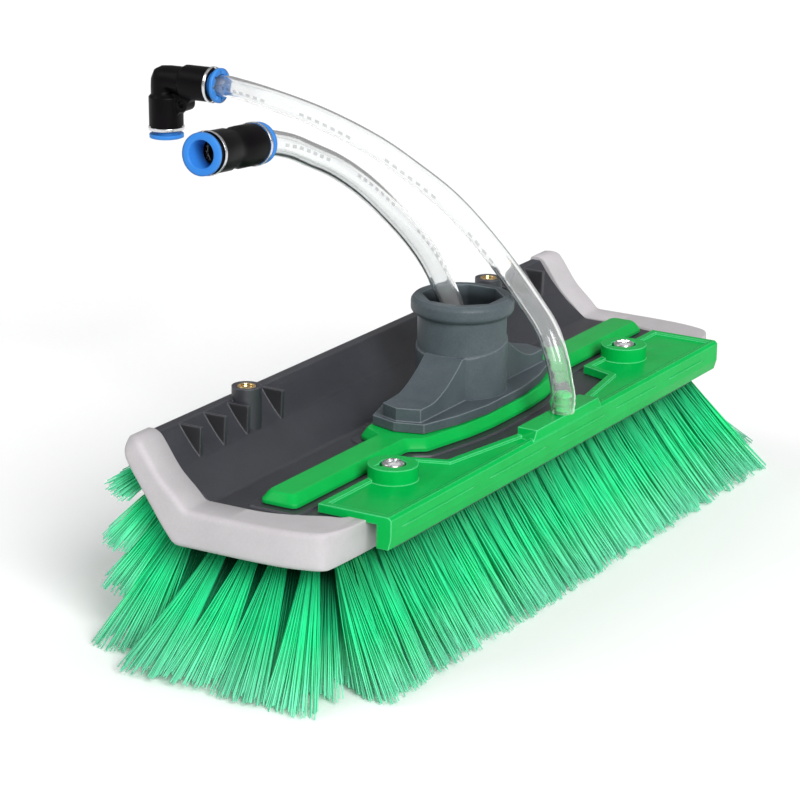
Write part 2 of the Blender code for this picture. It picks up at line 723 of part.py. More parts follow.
def build_bumpers(parent, material):
    """Both end bumpers, each relieved where the base bristles' slice runs under it."""
    reach = SLICE_HALF_LENGTH + CLEARANCE
    relief = box_outline(reach, 2 * BUMPER_FRONT, HEEL_Y)
    plate_end = PLATE_HALF_LENGTH + CLEARANCE
    plate_edge = PLATE_BACK + CLEARANCE
    seat = box_outline(plate_end, PLATE_FRONT, plate_edge)
    for side, sign in (("left", -1), ("right", 1)):
        bumper = make_object(f"bumper_{side}", bumper_shape(sign), material, parent)
        combine(bumper, prism(relief, -2 * STOCK_DEPTH, RECESS_TOP), "DIFFERENCE")
        combine(bumper, prism(seat, 0.0, PLATE_TOP), "DIFFERENCE")


# Bristles

def fan(x, end_fan):
    """Where a tuft rooted at X ends: the outer columns lean outwards, up to the row's own fan."""
    reach = abs(x) / SLICE_HALF_LENGTH
    return x + math.copysign(end_fan * reach ** 3, x)


def bristle_shape(row_edges, slice_points, tip_rings):
    """Tufts of four sides that grow from a slice of the stock, as one closed shape."""
    column_edges = np.linspace(-SLICE_HALF_LENGTH, SLICE_HALF_LENGTH, COLUMNS + 1)
    rows = len(row_edges) - 1
    points = []
    faces = []
    grid = {}
    for j, edge in enumerate(row_edges):
        y, z = slice_points(edge, 0.0)
        for i, x in enumerate(column_edges):
            grid[i, j] = len(points)
            points.append((x, y, z))
    for i in range(COLUMNS):
        x = (column_edges[i] + column_edges[i + 1]) / 2
        for j in range(rows):
            middle = (row_edges[j] + row_edges[j + 1]) / 2
            root = len(points)
            for side_x, side_row in ((-1, -1), (1, -1), (1, 1), (-1, 1)):
                y, z = slice_points(middle + side_row * ROOT_HALF_WIDTH, 0.0)
                points.append((x + side_x * ROOT_HALF_WIDTH, y, z))
            points.extend(tip_rings(x, j))
            cell = (grid[i, j], grid[i + 1, j], grid[i + 1, j + 1], grid[i, j + 1])
            for side in range(4):
                after = (side + 1) % 4
                faces.append((cell[side], cell[after], root + after, root + side))
                faces.append((root + side, root + after, root + 4 + after, root + 4 + side))
            faces.append(tuple(root + 4 + side for side in range(4)))
    back = len(points)
    for edge in (row_edges[0], row_edges[-1]):
        y, z = slice_points(edge, SLICE_THICKNESS)
        points.append((-SLICE_HALF_LENGTH, y, z))
        points.append((SLICE_HALF_LENGTH, y, z))
    faces.append((back, back + 1, back + 3, back + 2))
    faces.append(tuple(grid[i, 0] for i in range(COLUMNS + 1)) + (back + 1, back))
    faces.append(tuple(grid[i, rows] for i in range(COLUMNS + 1)) + (back + 3, back + 2))
    faces.append(tuple(grid[0, j] for j in range(rows + 1)) + (back + 2, back))
    faces.append(tuple(grid[COLUMNS, j] for j in range(rows + 1)) + (back + 3, back + 1))
    return np.array(points), faces


def tuft_tip(x, y, z, depth, tilt):
    """A tuft's end: an oblong of a half depth in the row direction, tilted up from level by an angle."""
    rise = depth * math.sin(tilt)
    depth *= math.cos(tilt)
    return [(x + side_x * TIP_HALF_WIDTH, y + side_row * depth, z + side_row * rise)
            for side_x, side_row in ((-1, -1), (1, -1), (1, 1), (-1, 1))]


def build_bristles(parent, material):
    """Base tufts that end flat on the floor, and wing tufts that end on an upright plane."""
    floor = -BRISTLE_REACH

    def base_slice(edge, inward):
        return edge, -STOCK_DEPTH + inward

    def base_tips(x, row):
        y = FRONT_TIP_Y + row * BASE_TIP_PITCH
        return tuft_tip(fan(x, BASE_END_FANS[row]), y, floor, BASE_TIP_HALF_DEPTH, 0.0)

    edges = [BASE_SLICE_FRONT + row * BASE_ROW_PITCH for row in range(BASE_ROWS + 1)]
    base = make_object("base_bristles", bristle_shape(edges, base_slice, base_tips), material, parent)
    below = -STOCK_DEPTH - CLEARANCE
    access = both_sides(moved(cylinder(SOCKET_SCREW_HEAD_RADIUS + CLEARANCE, below, 0.0, 10),
                              (SOCKET_SCREW_X, 0, 0)))
    combine(base, combined([access, cylinder(WATERWAY_RADIUS, below, 0.0, 10)]), "DIFFERENCE")

    def wing_tips(x, row):
        height = WING_TIP_TOP_Z - (WING_ROWS - 1 - row) * WING_TIP_PITCH
        end = fan(x, WING_END_FANS[row])
        if row == 0:
            return tuft_tip(end, HEEL_TIP_Y, floor, HEEL_TIP_HALF_DEPTH, 0.0)
        return tuft_tip(end, WING_TIP_Y, height, WING_TIP_HALF_DEPTH, WING_TIP_LEAN)

    edges = [WING_SLICE_START + row * WING_ROW_PITCH for row in range(WING_ROWS + 1)]
    make_object("wing_bristles", bristle_shape(edges, slope_point, wing_tips), material, parent)


# The carrier bar, the pole socket and the screws between them

def build_bar(parent, material):
    """The carrier bar, with drafted sides and the holes for the screws and the inlet."""
    levels = [(BAR_SEAT, 0.0), (BAR_SEAT + BAR_SOLE, 0.0), (BAR_TOP - BAR_EDGE, BAR_DRAFT),
              (BAR_TOP, BAR_DRAFT + BAR_EDGE)]
    rings = []
    for height, inset in levels:
        outline = rounded(grown(bar_outline(), -inset), BAR_CORNER_RADIUS)
        rings.append([(x, y, height) for x, y in outline])
    bar = make_object("carrier_bar", loft(rings), material, parent)
    over = 2 * BAR_TOP
    screw_hole = moved(cylinder(SOCKET_SCREW_RADIUS + CLEARANCE, -over, over), (SOCKET_SCREW_X, 0, 0))
    stem_hole = cylinder(INLET_STEM_RADIUS + CLEARANCE, -over, over)
    combine(bar, combined([both_sides(screw_hole), stem_hole]), "DIFFERENCE")


def ramp_profile():
    """The socket's side view in XZ: end pads and hollow ramps up to the tube."""
    half = [(FOOT_HALF_LENGTH, FOOT_SEAT + 0.001), (FOOT_HALF_LENGTH, PAD_TOP)]
    for share in np.linspace(0, 1, 8):
        half.append((PAD_INNER_X - (PAD_INNER_X - TUBE_RADIUS) * share,
                     PAD_TOP + (RAMP_TOP - PAD_TOP) * share ** RAMP_CURVE))
    return mirrored(half)


def build_socket(parent, material):
    """The pole socket: stepped foot, ramps, tube with a tilted cuff, collar and eight-sided bore."""
    foot = foot_outline()
    socket = make_object("pole_socket", prism(ramp_profile(), -0.03, 0.03, "Y"), material, parent)
    pad = grown(foot, -PAD_INSET)
    ramp_plan = [(x, max(RAMP_FRONT, min(RAMP_BACK, y))) for x, y in pad]
    combine(socket, prism(ramp_plan, FOOT_SEAT + 0.001, 0.05), "INTERSECT")
    combine(socket, prism(foot, FOOT_SEAT, TIER_TOP), "UNION")
    cuff_points, cuff_faces = cylinder(CUFF_RADIUS, FOOT_SEAT + 0.0004, CUFF_HEIGHT, SOCKET_SIDES)
    upper = cuff_points[:, 2] > BORE_FLOOR
    cuff_points[upper, 2] += CUFF_SLOPE * cuff_points[upper, 0]
    combine(socket, (cuff_points, cuff_faces), "UNION")
    collar_bottom = SOCKET_TOP - COLLAR_HEIGHT
    lip = COLLAR_RADIUS - TUBE_RADIUS
    tube = lathe([(0, FOOT_SEAT + 0.0008), (TUBE_RADIUS, FOOT_SEAT + 0.0008),
                  (TUBE_RADIUS, collar_bottom - 0.3 * lip), (COLLAR_RADIUS - 0.25 * lip, collar_bottom),
                  (COLLAR_RADIUS, collar_bottom + 0.4 * lip), (COLLAR_RADIUS, SOCKET_TOP - 0.6 * lip),
                  (COLLAR_RADIUS - 0.5 * lip, SOCKET_TOP), (0, SOCKET_TOP)], SOCKET_SIDES)
    combine(socket, tube, "UNION")
    bore = cylinder(BORE_RADIUS, BORE_FLOOR, SOCKET_TOP + 0.01, BORE_SIDES)
    combine(socket, bore, "DIFFERENCE")
    stem_hole = cylinder(INLET_STEM_RADIUS + CLEARANCE, 0.0, BORE_FLOOR + 0.002)
    screw_hole = moved(cylinder(SOCKET_SCREW_RADIUS + CLEARANCE, 0.0, SOCKET_SCREW_TOP + CLEARANCE),
                       (SOCKET_SCREW_X, 0, 0))
    combine(socket, combined([both_sides(screw_hole), stem_hole]), "DIFFERENCE")


def build_socket_screws(parent, material):
    """The two screws that come up through the stock and the bar into the socket's foot."""
    head_top = RECESS_TOP + SOCKET_SCREW_RECESS - CLEARANCE
    head_bottom = head_top - SOCKET_SCREW_HEAD
    profile = [(0, head_bottom), (SOCKET_SCREW_HEAD_RADIUS, head_bottom),
               (SOCKET_SCREW_HEAD_RADIUS, head_top), (SOCKET_SCREW_RADIUS, head_top),
               (SOCKET_SCREW_RADIUS, SOCKET_SCREW_TOP - 0.001), (0, SOCKET_SCREW_TOP)]
    for side, sign in (("left", -1), ("right", 1)):
        make_object(f"socket_screw_{side}", moved(lathe(profile, 12), (sign * SOCKET_SCREW_X, 0, 0)),
                    material, parent)


def build_inlet(parent, material):
    """The barb in the socket's floor that feeds the stock, bored through."""
    profile = [(WATERWAY_RADIUS, INLET_STEM_FOOT), (INLET_STEM_RADIUS, INLET_STEM_FOOT),
               (INLET_STEM_RADIUS, INLET_FLANGE_SEAT), (INLET_FLANGE_RADIUS, INLET_FLANGE_SEAT),
               (INLET_FLANGE_RADIUS, INLET_BARB_SEAT), *barb_profile(INLET_BARB_SEAT),
               (WATERWAY_RADIUS, INLET_BARB_SEAT + BARB_LENGTH)]
    make_object("inlet_barb", lathe(profile, 12, ring=True), material, parent)


# The rinse plate

def build_plate(parent, material):
    """The rinse plate with its lip, sunk panel, screw bosses, barb block and water channel."""
    section = [(LIP_INNER, LIP_BOTTOM), (PLATE_FRONT + LIP_CHAMFER, LIP_BOTTOM),
               (PLATE_FRONT, LIP_CHAMFER_START), (PLATE_FRONT, PLATE_TOP - PLATE_EDGE),
               (PLATE_FRONT + PLATE_EDGE, PLATE_TOP), (PLATE_BACK, PLATE_TOP),
               (PLATE_BACK, CLEARANCE), (LIP_INNER, CLEARANCE)]
    plate = make_object("rinse_plate", prism(section, -PLATE_HALF_LENGTH, PLATE_HALF_LENGTH, "X"),
                        material, parent)
    outline = plate_outline()
    over = 2 * PLATE_BOSS_TOP
    combine(plate, prism(outline, 2 * LIP_BOTTOM, over), "INTERSECT")
    combine(plate, prism(grown(outline, -PANEL_BORDER), PLATE_TOP - PANEL_DEPTH, over), "DIFFERENCE")
    boss = moved(cylinder(PLATE_BOSS_RADIUS, PLATE_TOP / 2, PLATE_BOSS_TOP, 28),
                 (PLATE_SCREW_X, PLATE_SCREW_Y, 0))
    combine(plate, both_sides(boss), "UNION")
    back = PLATE_CENTRE_BACK - PANEL_DEPTH
    front = PLATE_FRONT + CLEARANCE
    half = BLOCK_HALF_LENGTH
    wide = half + BLOCK_FLARE
    foot = PLATE_TOP - BLOCK_ROOT
    block = loft([
        [(-wide, front, foot), (wide, front, foot), (half, back, foot), (-half, back, foot)],
        [(x, y, BLOCK_TOP) for x, y in box_outline(half, front, back)],
    ])
    combine(plate, block, "UNION")
    barb = lathe([(0, PLATE_TOP), (BARB_CORE_RADIUS, PLATE_TOP),
                  *barb_profile(BLOCK_TOP), (0, BLOCK_TOP + BARB_LENGTH)], 12)
    combine(plate, moved(barb, (0, CHANNEL_Y, 0)), "UNION")
    seat = PLATE_BOSS_TOP - COUNTERBORE_DEPTH
    screw_way = moved(lathe([(0, -PLATE_TOP), (PLATE_SCREW_RADIUS + CLEARANCE, -PLATE_TOP),
                             (PLATE_SCREW_RADIUS + CLEARANCE, seat), (COUNTERBORE_RADIUS, seat),
                             (COUNTERBORE_RADIUS, over), (0, over)]), (PLATE_SCREW_X, PLATE_SCREW_Y, 0))
    combine(plate, both_sides(screw_way), "DIFFERENCE")
    tip = Vector(KEYHOLE_TIP)
    across = tip.orthogonal().normalized() * KEYHOLE_HALF_WIDTH
    for screw_x in (-PLATE_SCREW_X, PLATE_SCREW_X):
        keyhole = moved(prism([tip, across, -across], seat, over), (screw_x, PLATE_SCREW_Y, 0))
        combine(plate, keyhole, "DIFFERENCE")
    half_width = CHANNEL_WIDTH / 2
    groove = box_outline(CHANNEL_HALF_LENGTH, CHANNEL_Y - half_width, CHANNEL_Y + half_width)
    combine(plate, prism(groove, 2 * LIP_BOTTOM, CHANNEL_ROOF), "DIFFERENCE")
    feed = moved(cylinder(WATERWAY_RADIUS / 2, 2 * CHANNEL_ROOF, 2 * (BLOCK_TOP + BARB_LENGTH), 10),
                 (0, CHANNEL_Y, 0))
    combine(plate, feed, "DIFFERENCE")


def build_channel_strip(parent, material):
    """The strip that closes the water channel, with a row of jet holes."""
    half_length = CHANNEL_HALF_LENGTH - CLEARANCE
    half_width = CHANNEL_WIDTH / 2 - CLEARANCE
    outline = box_outline(half_length, CHANNEL_Y - half_width, CHANNEL_Y + half_width)
    strip = make_object("rinse_channel_strip",
                        prism(outline, LIP_BOTTOM, LIP_BOTTOM + STRIP_THICKNESS), material, parent)
    pitch = 2 * half_length / JET_COUNT
    jets = [moved(cylinder(JET_RADIUS, 2 * LIP_BOTTOM, LIP_BOTTOM + 2 * STRIP_THICKNESS, 6),
                  (-half_length + (jet + 0.5) * pitch, CHANNEL_Y, 0)) for jet in range(JET_COUNT)]
    combine(strip, combined(jets), "DIFFERENCE")


def build_plate_screws(parent, material):
    """The two pan-head screws that hold the rinse plate."""
    seat = PLATE_BOSS_TOP - COUNTERBORE_DEPTH + CLEARANCE
    edge = PLATE_SCREW_HEAD_RADIUS
    profile = [(0, seat - PLATE_SCREW_LENGTH), (PLATE_SCREW_RADIUS, seat - PLATE_SCREW_LENGTH + 0.001),
               (PLATE_SCREW_RADIUS, seat), (edge, seat), (edge, seat + 0.55 * PLATE_SCREW_HEAD),
               (0.7 * edge, seat + 0.92 * PLATE_SCREW_HEAD), (0, seat + PLATE_SCREW_HEAD)]
    for side, sign in (("left", -1), ("right", 1)):
        shape = moved(lathe(profile), (sign * PLATE_SCREW_X, PLATE_SCREW_Y, 0))
        make_object(f"plate_screw_{side}", shape, material, parent)


# Hoses

def smooth_curve(knots, steps=24):
    """Many points on a smooth curve through the knots, by centripetal Catmull-Rom."""
    knots = [Vector(knot) for knot in knots]
    padded = [2 * knots[0] - knots[1], *knots, 2 * knots[-1] - knots[-2]]
    curve = []
    for before, start, end, after in zip(padded, padded[1:], padded[2:], padded[3:]):
        times = [0.0]
        for near, far in ((before, start), (start, end), (end, after)):
            times.append(times[-1] + math.sqrt((far - near).length))
        for step in range(steps):
            time = times[1] + (times[2] - times[1]) * step / steps
            low = [before.lerp(start, (time - times[0]) / (times[1] - times[0])),
                   start.lerp(end, (time - times[1]) / (times[2] - times[1])),
                   end.lerp(after, (time - times[2]) / (times[3] - times[2]))]
            middle = [low[0].lerp(low[1], (time - times[0]) / (times[2] - times[0])),
                      low[1].lerp(low[2], (time - times[1]) / (times[3] - times[1]))]
            curve.append(middle[0].lerp(middle[1], (time - times[1]) / (times[2] - times[1])))
    curve.append(knots[-1])
    return curve


def spaced(curve, spacing):
    """Points at even distances along a curve, its first and last included."""
    lengths = [0.0]
    for near, far in zip(curve, curve[1:]):
        lengths.append(lengths[-1] + (far - near).length)
    count = max(2, round(lengths[-1] / spacing))
    result = []
    for step in range(count + 1):
        target = lengths[-1] * step / count
        index = min(np.searchsorted(lengths, target, side="right"), len(curve) - 1)
        share = (target - lengths[index - 1]) / (lengths[index] - lengths[index - 1])
        result.append(curve[index - 1].lerp(curve[index], share))
    return result


def curve_mesh(name, points, radius, resolution):
    """The mesh of a curve object with a round bevel and filled caps, as a shape."""
    data = bpy.data.curves.new(name, "CURVE")
    data.dimensions = "3D"
    data.bevel_depth = radius
    data.bevel_resolution = resolution
    data.use_fill_caps = True
    spline = data.splines.new("POLY")
    spline.points.add(len(points) - 1)
    for slot, point in zip(spline.points, points):
        slot.co = (*point, 1.0)
    guide = bpy.data.objects.new(name, data)
    bpy.context.collection.objects.link(guide)
    mesh = bpy.data.meshes.new_from_object(guide.evaluated_get(bpy.context.evaluated_depsgraph_get()))
    builder = bmesh.new()
    builder.from_mesh(mesh)
    bmesh.ops.remove_doubles(builder, verts=builder.verts[:], dist=0.00001)
    builder.verts.ensure_lookup_table()
    shape = (np.array([tuple(vert.co) for vert in builder.verts]),
             [tuple(vert.index for vert in face.verts) for face in builder.faces])
    builder.free()
    bpy.data.objects.remove(guide)
    return shape


def build_hose(name, barb, route, mouth, direction, parent, material):
    """A clear hose: straight on its barb, along its route and straight into its fitting."""
    into = Vector(direction).normalized()
    start = Vector(barb) + Vector((0, 0, CLEARANCE))
    on_barb = start + Vector((0, 0, STRAIGHT_ON_BARB))
    entry = Vector(mouth) - into * (COLLET_REACH + HOSE_RADIUS)
    end = Vector(mouth) + into * (STOP_DEPTH - CLEARANCE)
    free = spaced(smooth_curve([on_barb, *route, entry]), POINT_SPACING)
    points = [start, *free, end]
    hose = make_object(name, curve_mesh(name + "_wall", points, HOSE_RADIUS, 4), material, parent)
    past = [start - Vector((0, 0, 0.002)), *free, end + into * 0.002]
    combine(hose, curve_mesh(name + "_bore", past, HOSE_BORE_RADIUS, 2), "DIFFERENCE")


# Push-fit fittings. A port's frame has its zero at the mouth and +Z into the body.

def port_cut(depth, waterway=PORT_WATERWAY_RADIUS):
    """What a port takes out of a body: collet bore, ring seat, seal seat, tube stop, waterway."""
    ring_seat = GRAB_RING_DEPTH - CLEARANCE
    seal_seat = SEAL_DEPTH - CLEARANCE
    seal_end = SEAL_DEPTH + SEAL_THICKNESS + CLEARANCE
    collet_bore = COLLET_RADIUS + 1.5 * CLEARANCE
    seat_radius = GRAB_RING_RADIUS + CLEARANCE + 0.0001
    tube_bore = HOSE_RADIUS + 1.5 * CLEARANCE
    return lathe([(0, -0.005), (collet_bore, -0.005), (collet_bore, ring_seat),
                  (seat_radius, ring_seat), (seat_radius, seal_seat),
                  (SEAL_RADIUS + CLEARANCE, seal_seat), (SEAL_RADIUS + CLEARANCE, seal_end),
                  (tube_bore, seal_end), (tube_bore, STOP_DEPTH),
                  (waterway, STOP_DEPTH), (waterway, depth), (0, depth)])


def build_port(name, port, materials):
    """The four pieces at one port: collet, band, grab ring and seal."""
    inner = HOSE_RADIUS + CLEARANCE
    face = COLLET_REACH - COLLET_FLANGE
    collet = lathe([(inner, -COLLET_REACH + 0.0004), (inner + 0.0004, -COLLET_REACH),
                    (COLLET_FLANGE_RADIUS - 0.0004, -COLLET_REACH),
                    (COLLET_FLANGE_RADIUS, -COLLET_REACH + 0.0004),
                    (COLLET_FLANGE_RADIUS, -face), (COLLET_RADIUS, -face),
                    (COLLET_RADIUS, COLLET_SLEEVE), (inner, COLLET_SLEEVE)], ring=True)
    make_object(f"{name}_collet", collet, materials["collet"], port)
    band_inner = BODY_RADIUS - BAND_STEP + CLEARANCE
    band = lathe([(band_inner, CLEARANCE), (BAND_RADIUS, CLEARANCE),
                  (BAND_RADIUS, BAND_WIDTH), (band_inner, BAND_WIDTH)], ring=True)
    make_object(f"{name}_band", band, materials["band"], port)
    grab = lathe([(inner, GRAB_RING_DEPTH), (GRAB_RING_RADIUS, GRAB_RING_DEPTH),
                  (GRAB_RING_RADIUS, GRAB_RING_DEPTH + GRAB_RING_THICKNESS),
                  (inner, GRAB_RING_DEPTH + GRAB_RING_THICKNESS)], 12, ring=True)
    make_object(f"{name}_grab_ring", grab, materials["steel"], port)
    half = SEAL_THICKNESS / 2
    wide = (SEAL_RADIUS - inner) / 2
    seal = [(inner + wide + wide * math.cos(a), SEAL_DEPTH + half + half * math.sin(a))
            for a in np.radians(np.arange(0, 360, 60))]
    make_object(f"{name}_seal", lathe(seal, 12, ring=True), materials["seal"], port)


def elbow_shell():
    """The elbow's outside: round sections from one mouth, round a squared-off bend, to the other."""
    turn = np.arange(BODY_SIDES) * (2 * math.pi / BODY_SIDES)
    neck = BODY_RADIUS - BAND_STEP
    shoulder = BAND_WIDTH + CLEARANCE
    waist = BODY_WAIST_RADIUS

    def along_hose(radius, z):
        return np.stack([-radius * np.cos(turn), radius * np.sin(turn), np.full(BODY_SIDES, z)], axis=1)

    def along_free(radius, x):
        return np.stack([np.full(BODY_SIDES, x), radius * np.sin(turn),
                         ELBOW_HOSE_ARM + radius * np.cos(turn)], axis=1)

    def arm(ring, length):
        return [ring(neck, 0.0004), ring(neck, shoulder), ring(BODY_RADIUS, shoulder),
                ring(BODY_RADIUS, length - WAIST_TAPER), ring(waist, length)]

    inner = ELBOW_BEND - 0.0004
    across = np.where(np.cos(turn) > 0, waist, inner) * np.cos(turn)
    rings = arm(along_hose, ELBOW_HOSE_ARM - ELBOW_HOSE_WAIST)
    for bend in np.radians(np.linspace(0, 90, 7)):
        stretch = (math.cos(bend) ** 4 + math.sin(bend) ** 4) ** -0.25
        outwards = (ELBOW_BEND + across) * stretch
        rings.append(np.stack([ELBOW_BEND - outwards * math.cos(bend), waist * np.sin(turn),
                               ELBOW_HOSE_ARM - ELBOW_BEND + outwards * math.sin(bend)], axis=1))
    free_arm = arm(lambda radius, reach: along_free(radius, ELBOW_FREE_ARM - reach),
                   ELBOW_FREE_ARM - ELBOW_FREE_WAIST)
    return loft(rings + free_arm[::-1])


def frame_of(mouth, direction, down=(0, 0, -1)):
    """A matrix at a mouth with +Z into the fitting and +X as near to downwards as it can be."""
    z_axis = Vector(direction).normalized()
    x_axis = (Vector(down) - z_axis * Vector(down).dot(z_axis)).normalized()
    y_axis = z_axis.cross(x_axis)
    turn = Matrix((x_axis, y_axis, z_axis)).transposed().to_4x4()
    return Matrix.Translation(mouth) @ turn


def build_elbow(parent, materials):
    """The push-fit elbow on the outer hose, whose swivel axis is the end of the hose."""
    swivel = make_empty("elbow_swivel", parent, frame_of(ELBOW_MOUTH, ELBOW_DIRECTION))
    turn = Matrix.Rotation(-math.pi / 2, 4, "Y")
    free_frame = Matrix.Translation((ELBOW_FREE_ARM, 0, ELBOW_HOSE_ARM)) @ turn
    body = make_object("elbow_body", elbow_shell(), materials["body"], swivel)
    across = Matrix.Rotation(math.pi / 2, 4, "X")
    eye_x = BODY_RADIUS + EYE_SET_OUT
    eye_z = ELBOW_HOSE_ARM - BODY_RADIUS - EYE_SET_OUT
    web_x = BODY_RADIUS + WEB_REACH
    web_z = ELBOW_HOSE_ARM - BODY_RADIUS - WEB_REACH
    web = [(ELBOW_BEND, ELBOW_HOSE_ARM - ELBOW_BEND), (BODY_RADIUS - CLEARANCE, web_z),
           (web_x, ELBOW_HOSE_ARM - BODY_RADIUS + CLEARANCE)]
    half = WEB_THICKNESS / 2
    combine(body, prism(web, -half, half, "Y"), "UNION")
    eye = moved(cylinder(EYE_RADIUS, -half - 0.0004, half + 0.0004, 16), (eye_x, 0, eye_z), across)
    combine(body, eye, "UNION")
    eye_bore = moved(cylinder(EYE_BORE_RADIUS, -2 * half, 2 * half, 12), (eye_x, 0, eye_z), across)
    combine(body, eye_bore, "DIFFERENCE")
    combine(body, port_cut(ELBOW_HOSE_ARM + 1.2 * PORT_WATERWAY_RADIUS), "DIFFERENCE")
    free_cut = moved(port_cut(ELBOW_FREE_ARM, 0.9 * PORT_WATERWAY_RADIUS), matrix=free_frame)
    combine(body, free_cut, "DIFFERENCE")
    build_port("elbow_hose", make_empty("elbow_hose_release", swivel, Matrix.Identity(4)), materials)
    build_port("elbow_free", make_empty("elbow_free_release", swivel, free_frame), materials)


def build_union(parent, materials):
    """The push-fit straight union on the inner hose."""
    swivel = make_empty("union_swivel", parent, frame_of(UNION_MOUTH, UNION_DIRECTION))
    length = UNION_LENGTH - 2 * COLLET_REACH
    neck = BODY_RADIUS - BAND_STEP
    shoulder = BAND_WIDTH + CLEARANCE
    waist = BODY_WAIST_RADIUS
    middle = length / 2
    body = make_object("union_body", lathe([
        (0, 0.0004), (neck, 0.0004), (neck, shoulder), (BODY_RADIUS, shoulder),
        (BODY_RADIUS, middle - 0.0035), (waist, middle - 0.0012), (waist, middle + 0.0012),
        (BODY_RADIUS, middle + 0.0035), (BODY_RADIUS, length - shoulder),
        (neck, length - shoulder), (neck, length - 0.0004), (0, length - 0.0004)], BODY_SIDES),
        materials["body"], swivel)
    flip = Matrix.Translation((0, 0, length)) @ Matrix.Rotation(math.pi, 4, "X")
    combine(body, port_cut(length / 2 + CLEARANCE), "DIFFERENCE")
    combine(body, moved(port_cut(length / 2 + CLEARANCE), matrix=flip), "DIFFERENCE")
    build_port("union_hose", make_empty("union_hose_release", swivel, Matrix.Identity(4)), materials)
    build_port("union_free", make_empty("union_free_release", swivel, flip), materials)


def clear_scene():
    """Remove what is in the scene."""
    for old in list(bpy.data.objects):
        bpy.data.objects.remove(old, do_unlink=True)


def main():
    """Build the whole brush under one empty that stands it on the floor."""
    clear_scene()
    stand = make_empty("brush_frame", None, Matrix.Translation((0, SHIFT_Y, BRISTLE_REACH)))
    green = make_material("bar_green", (0.01, 0.46, 0.05), 0.35)
    light_green = make_material("plate_green", (0.03, 0.55, 0.16), 0.35)
    slate = make_material("socket_slate", (0.09, 0.12, 0.13), 0.5)
    steel = make_material("stainless_steel", (0.7, 0.7, 0.7), 0.3, 1.0)
    clear = make_material("clear_hose", (0.9, 0.9, 0.9), 0.1)
    build_stock(stand, make_material("stock_grey", (0.045, 0.045, 0.058), 0.6))
    build_inserts(stand, make_material("brass", (0.75, 0.55, 0.25), 0.3, 1.0))
    build_bumpers(stand, make_material("bumper_grey", (0.6, 0.57, 0.57), 0.7))
    build_bristles(stand, make_material("bristle_green", (0.02, 0.65, 0.2), 0.6))
    build_bar(stand, green)
    build_socket(stand, slate)
    build_socket_screws(stand, steel)
    build_inlet(stand, slate)
    build_plate(stand, light_green)
    build_channel_strip(stand, light_green)
    build_plate_screws(stand, steel)
    outer_barb = (0, CHANNEL_Y, BLOCK_TOP)
    build_hose("outer_hose", outer_barb, OUTER_HOSE_ROUTE, ELBOW_MOUTH, ELBOW_DIRECTION, stand, clear)
    inner_barb = (0, 0, INLET_BARB_SEAT)
    build_hose("inner_hose", inner_barb, INNER_HOSE_ROUTE, UNION_MOUTH, UNION_DIRECTION, stand, clear)
    fitting_materials = {
        "body": make_material("fitting_black", (0.015, 0.013, 0.014), 0.45),
        "collet": make_material("collet_blue", (0.03, 0.22, 0.75), 0.35),
        "band": steel,
        "steel": steel,
        "seal": make_material("seal_rubber", (0.02, 0.02, 0.02), 0.7),
    }
    build_elbow(stand, fitting_materials)
    build_union(stand, fitting_materials)


main()
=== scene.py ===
"""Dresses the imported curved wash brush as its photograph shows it.

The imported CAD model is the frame. Each sub-assembly is a class that builds finer
pieces over the CAD nodes, gives them their materials and lets them ride on the
CAD bodies. Lengths are metres. Shapes are worked out in the stock's own frame,
whose zero is the middle of the stock's flat top face, and FRAME_SHIFT moves them
to the row frame.
"""

import json
import logging
import math
from collections.abc import Callable, Iterable, Sequence
from dataclasses import dataclass, field
from enum import Enum

import bmesh
import bpy
import numpy as np
from mathutils import Matrix, Vector

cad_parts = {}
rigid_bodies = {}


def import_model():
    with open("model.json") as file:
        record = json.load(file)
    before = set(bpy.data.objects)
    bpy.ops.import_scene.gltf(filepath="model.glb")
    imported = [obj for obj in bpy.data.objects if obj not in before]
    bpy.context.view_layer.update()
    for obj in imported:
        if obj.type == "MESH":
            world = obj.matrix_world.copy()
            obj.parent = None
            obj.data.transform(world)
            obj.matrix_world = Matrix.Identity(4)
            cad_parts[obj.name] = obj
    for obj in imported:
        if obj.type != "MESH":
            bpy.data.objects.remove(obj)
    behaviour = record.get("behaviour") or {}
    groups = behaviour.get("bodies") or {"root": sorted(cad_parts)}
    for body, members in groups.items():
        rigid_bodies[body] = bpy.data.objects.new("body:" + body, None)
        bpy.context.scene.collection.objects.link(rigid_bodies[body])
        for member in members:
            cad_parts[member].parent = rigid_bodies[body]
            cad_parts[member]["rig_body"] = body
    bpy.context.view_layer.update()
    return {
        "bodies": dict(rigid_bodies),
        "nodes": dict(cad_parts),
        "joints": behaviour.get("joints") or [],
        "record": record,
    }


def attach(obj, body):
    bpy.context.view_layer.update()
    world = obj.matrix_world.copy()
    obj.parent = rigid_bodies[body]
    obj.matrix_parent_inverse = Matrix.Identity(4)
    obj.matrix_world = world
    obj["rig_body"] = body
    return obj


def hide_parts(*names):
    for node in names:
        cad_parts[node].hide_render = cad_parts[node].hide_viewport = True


LOG = logging.getLogger("wash_brush")
FRAME_SHIFT = np.array((0.0, 0.002178, 0.049))
# How far pieces stay off what they fit into
CLEARANCE = 0.0003
# Points of a CAD mesh that lie closer than this are made one
WELD = 0.000002
# How many degrees sharper than a rounded edge an edge has to be to stay sharp
SHARP_MARGIN = 5.0
# The largest share of a run that the curve at its end takes up
LARGEST_SHARE = 0.48
# Where the values of a noise mostly lie
NOISE_SPAN = (0.3, 0.7)
SEED = 20
Array = np.ndarray
Span = tuple[float, float]
Colour = tuple[float, float, float]
Place = tuple[float, float, float]


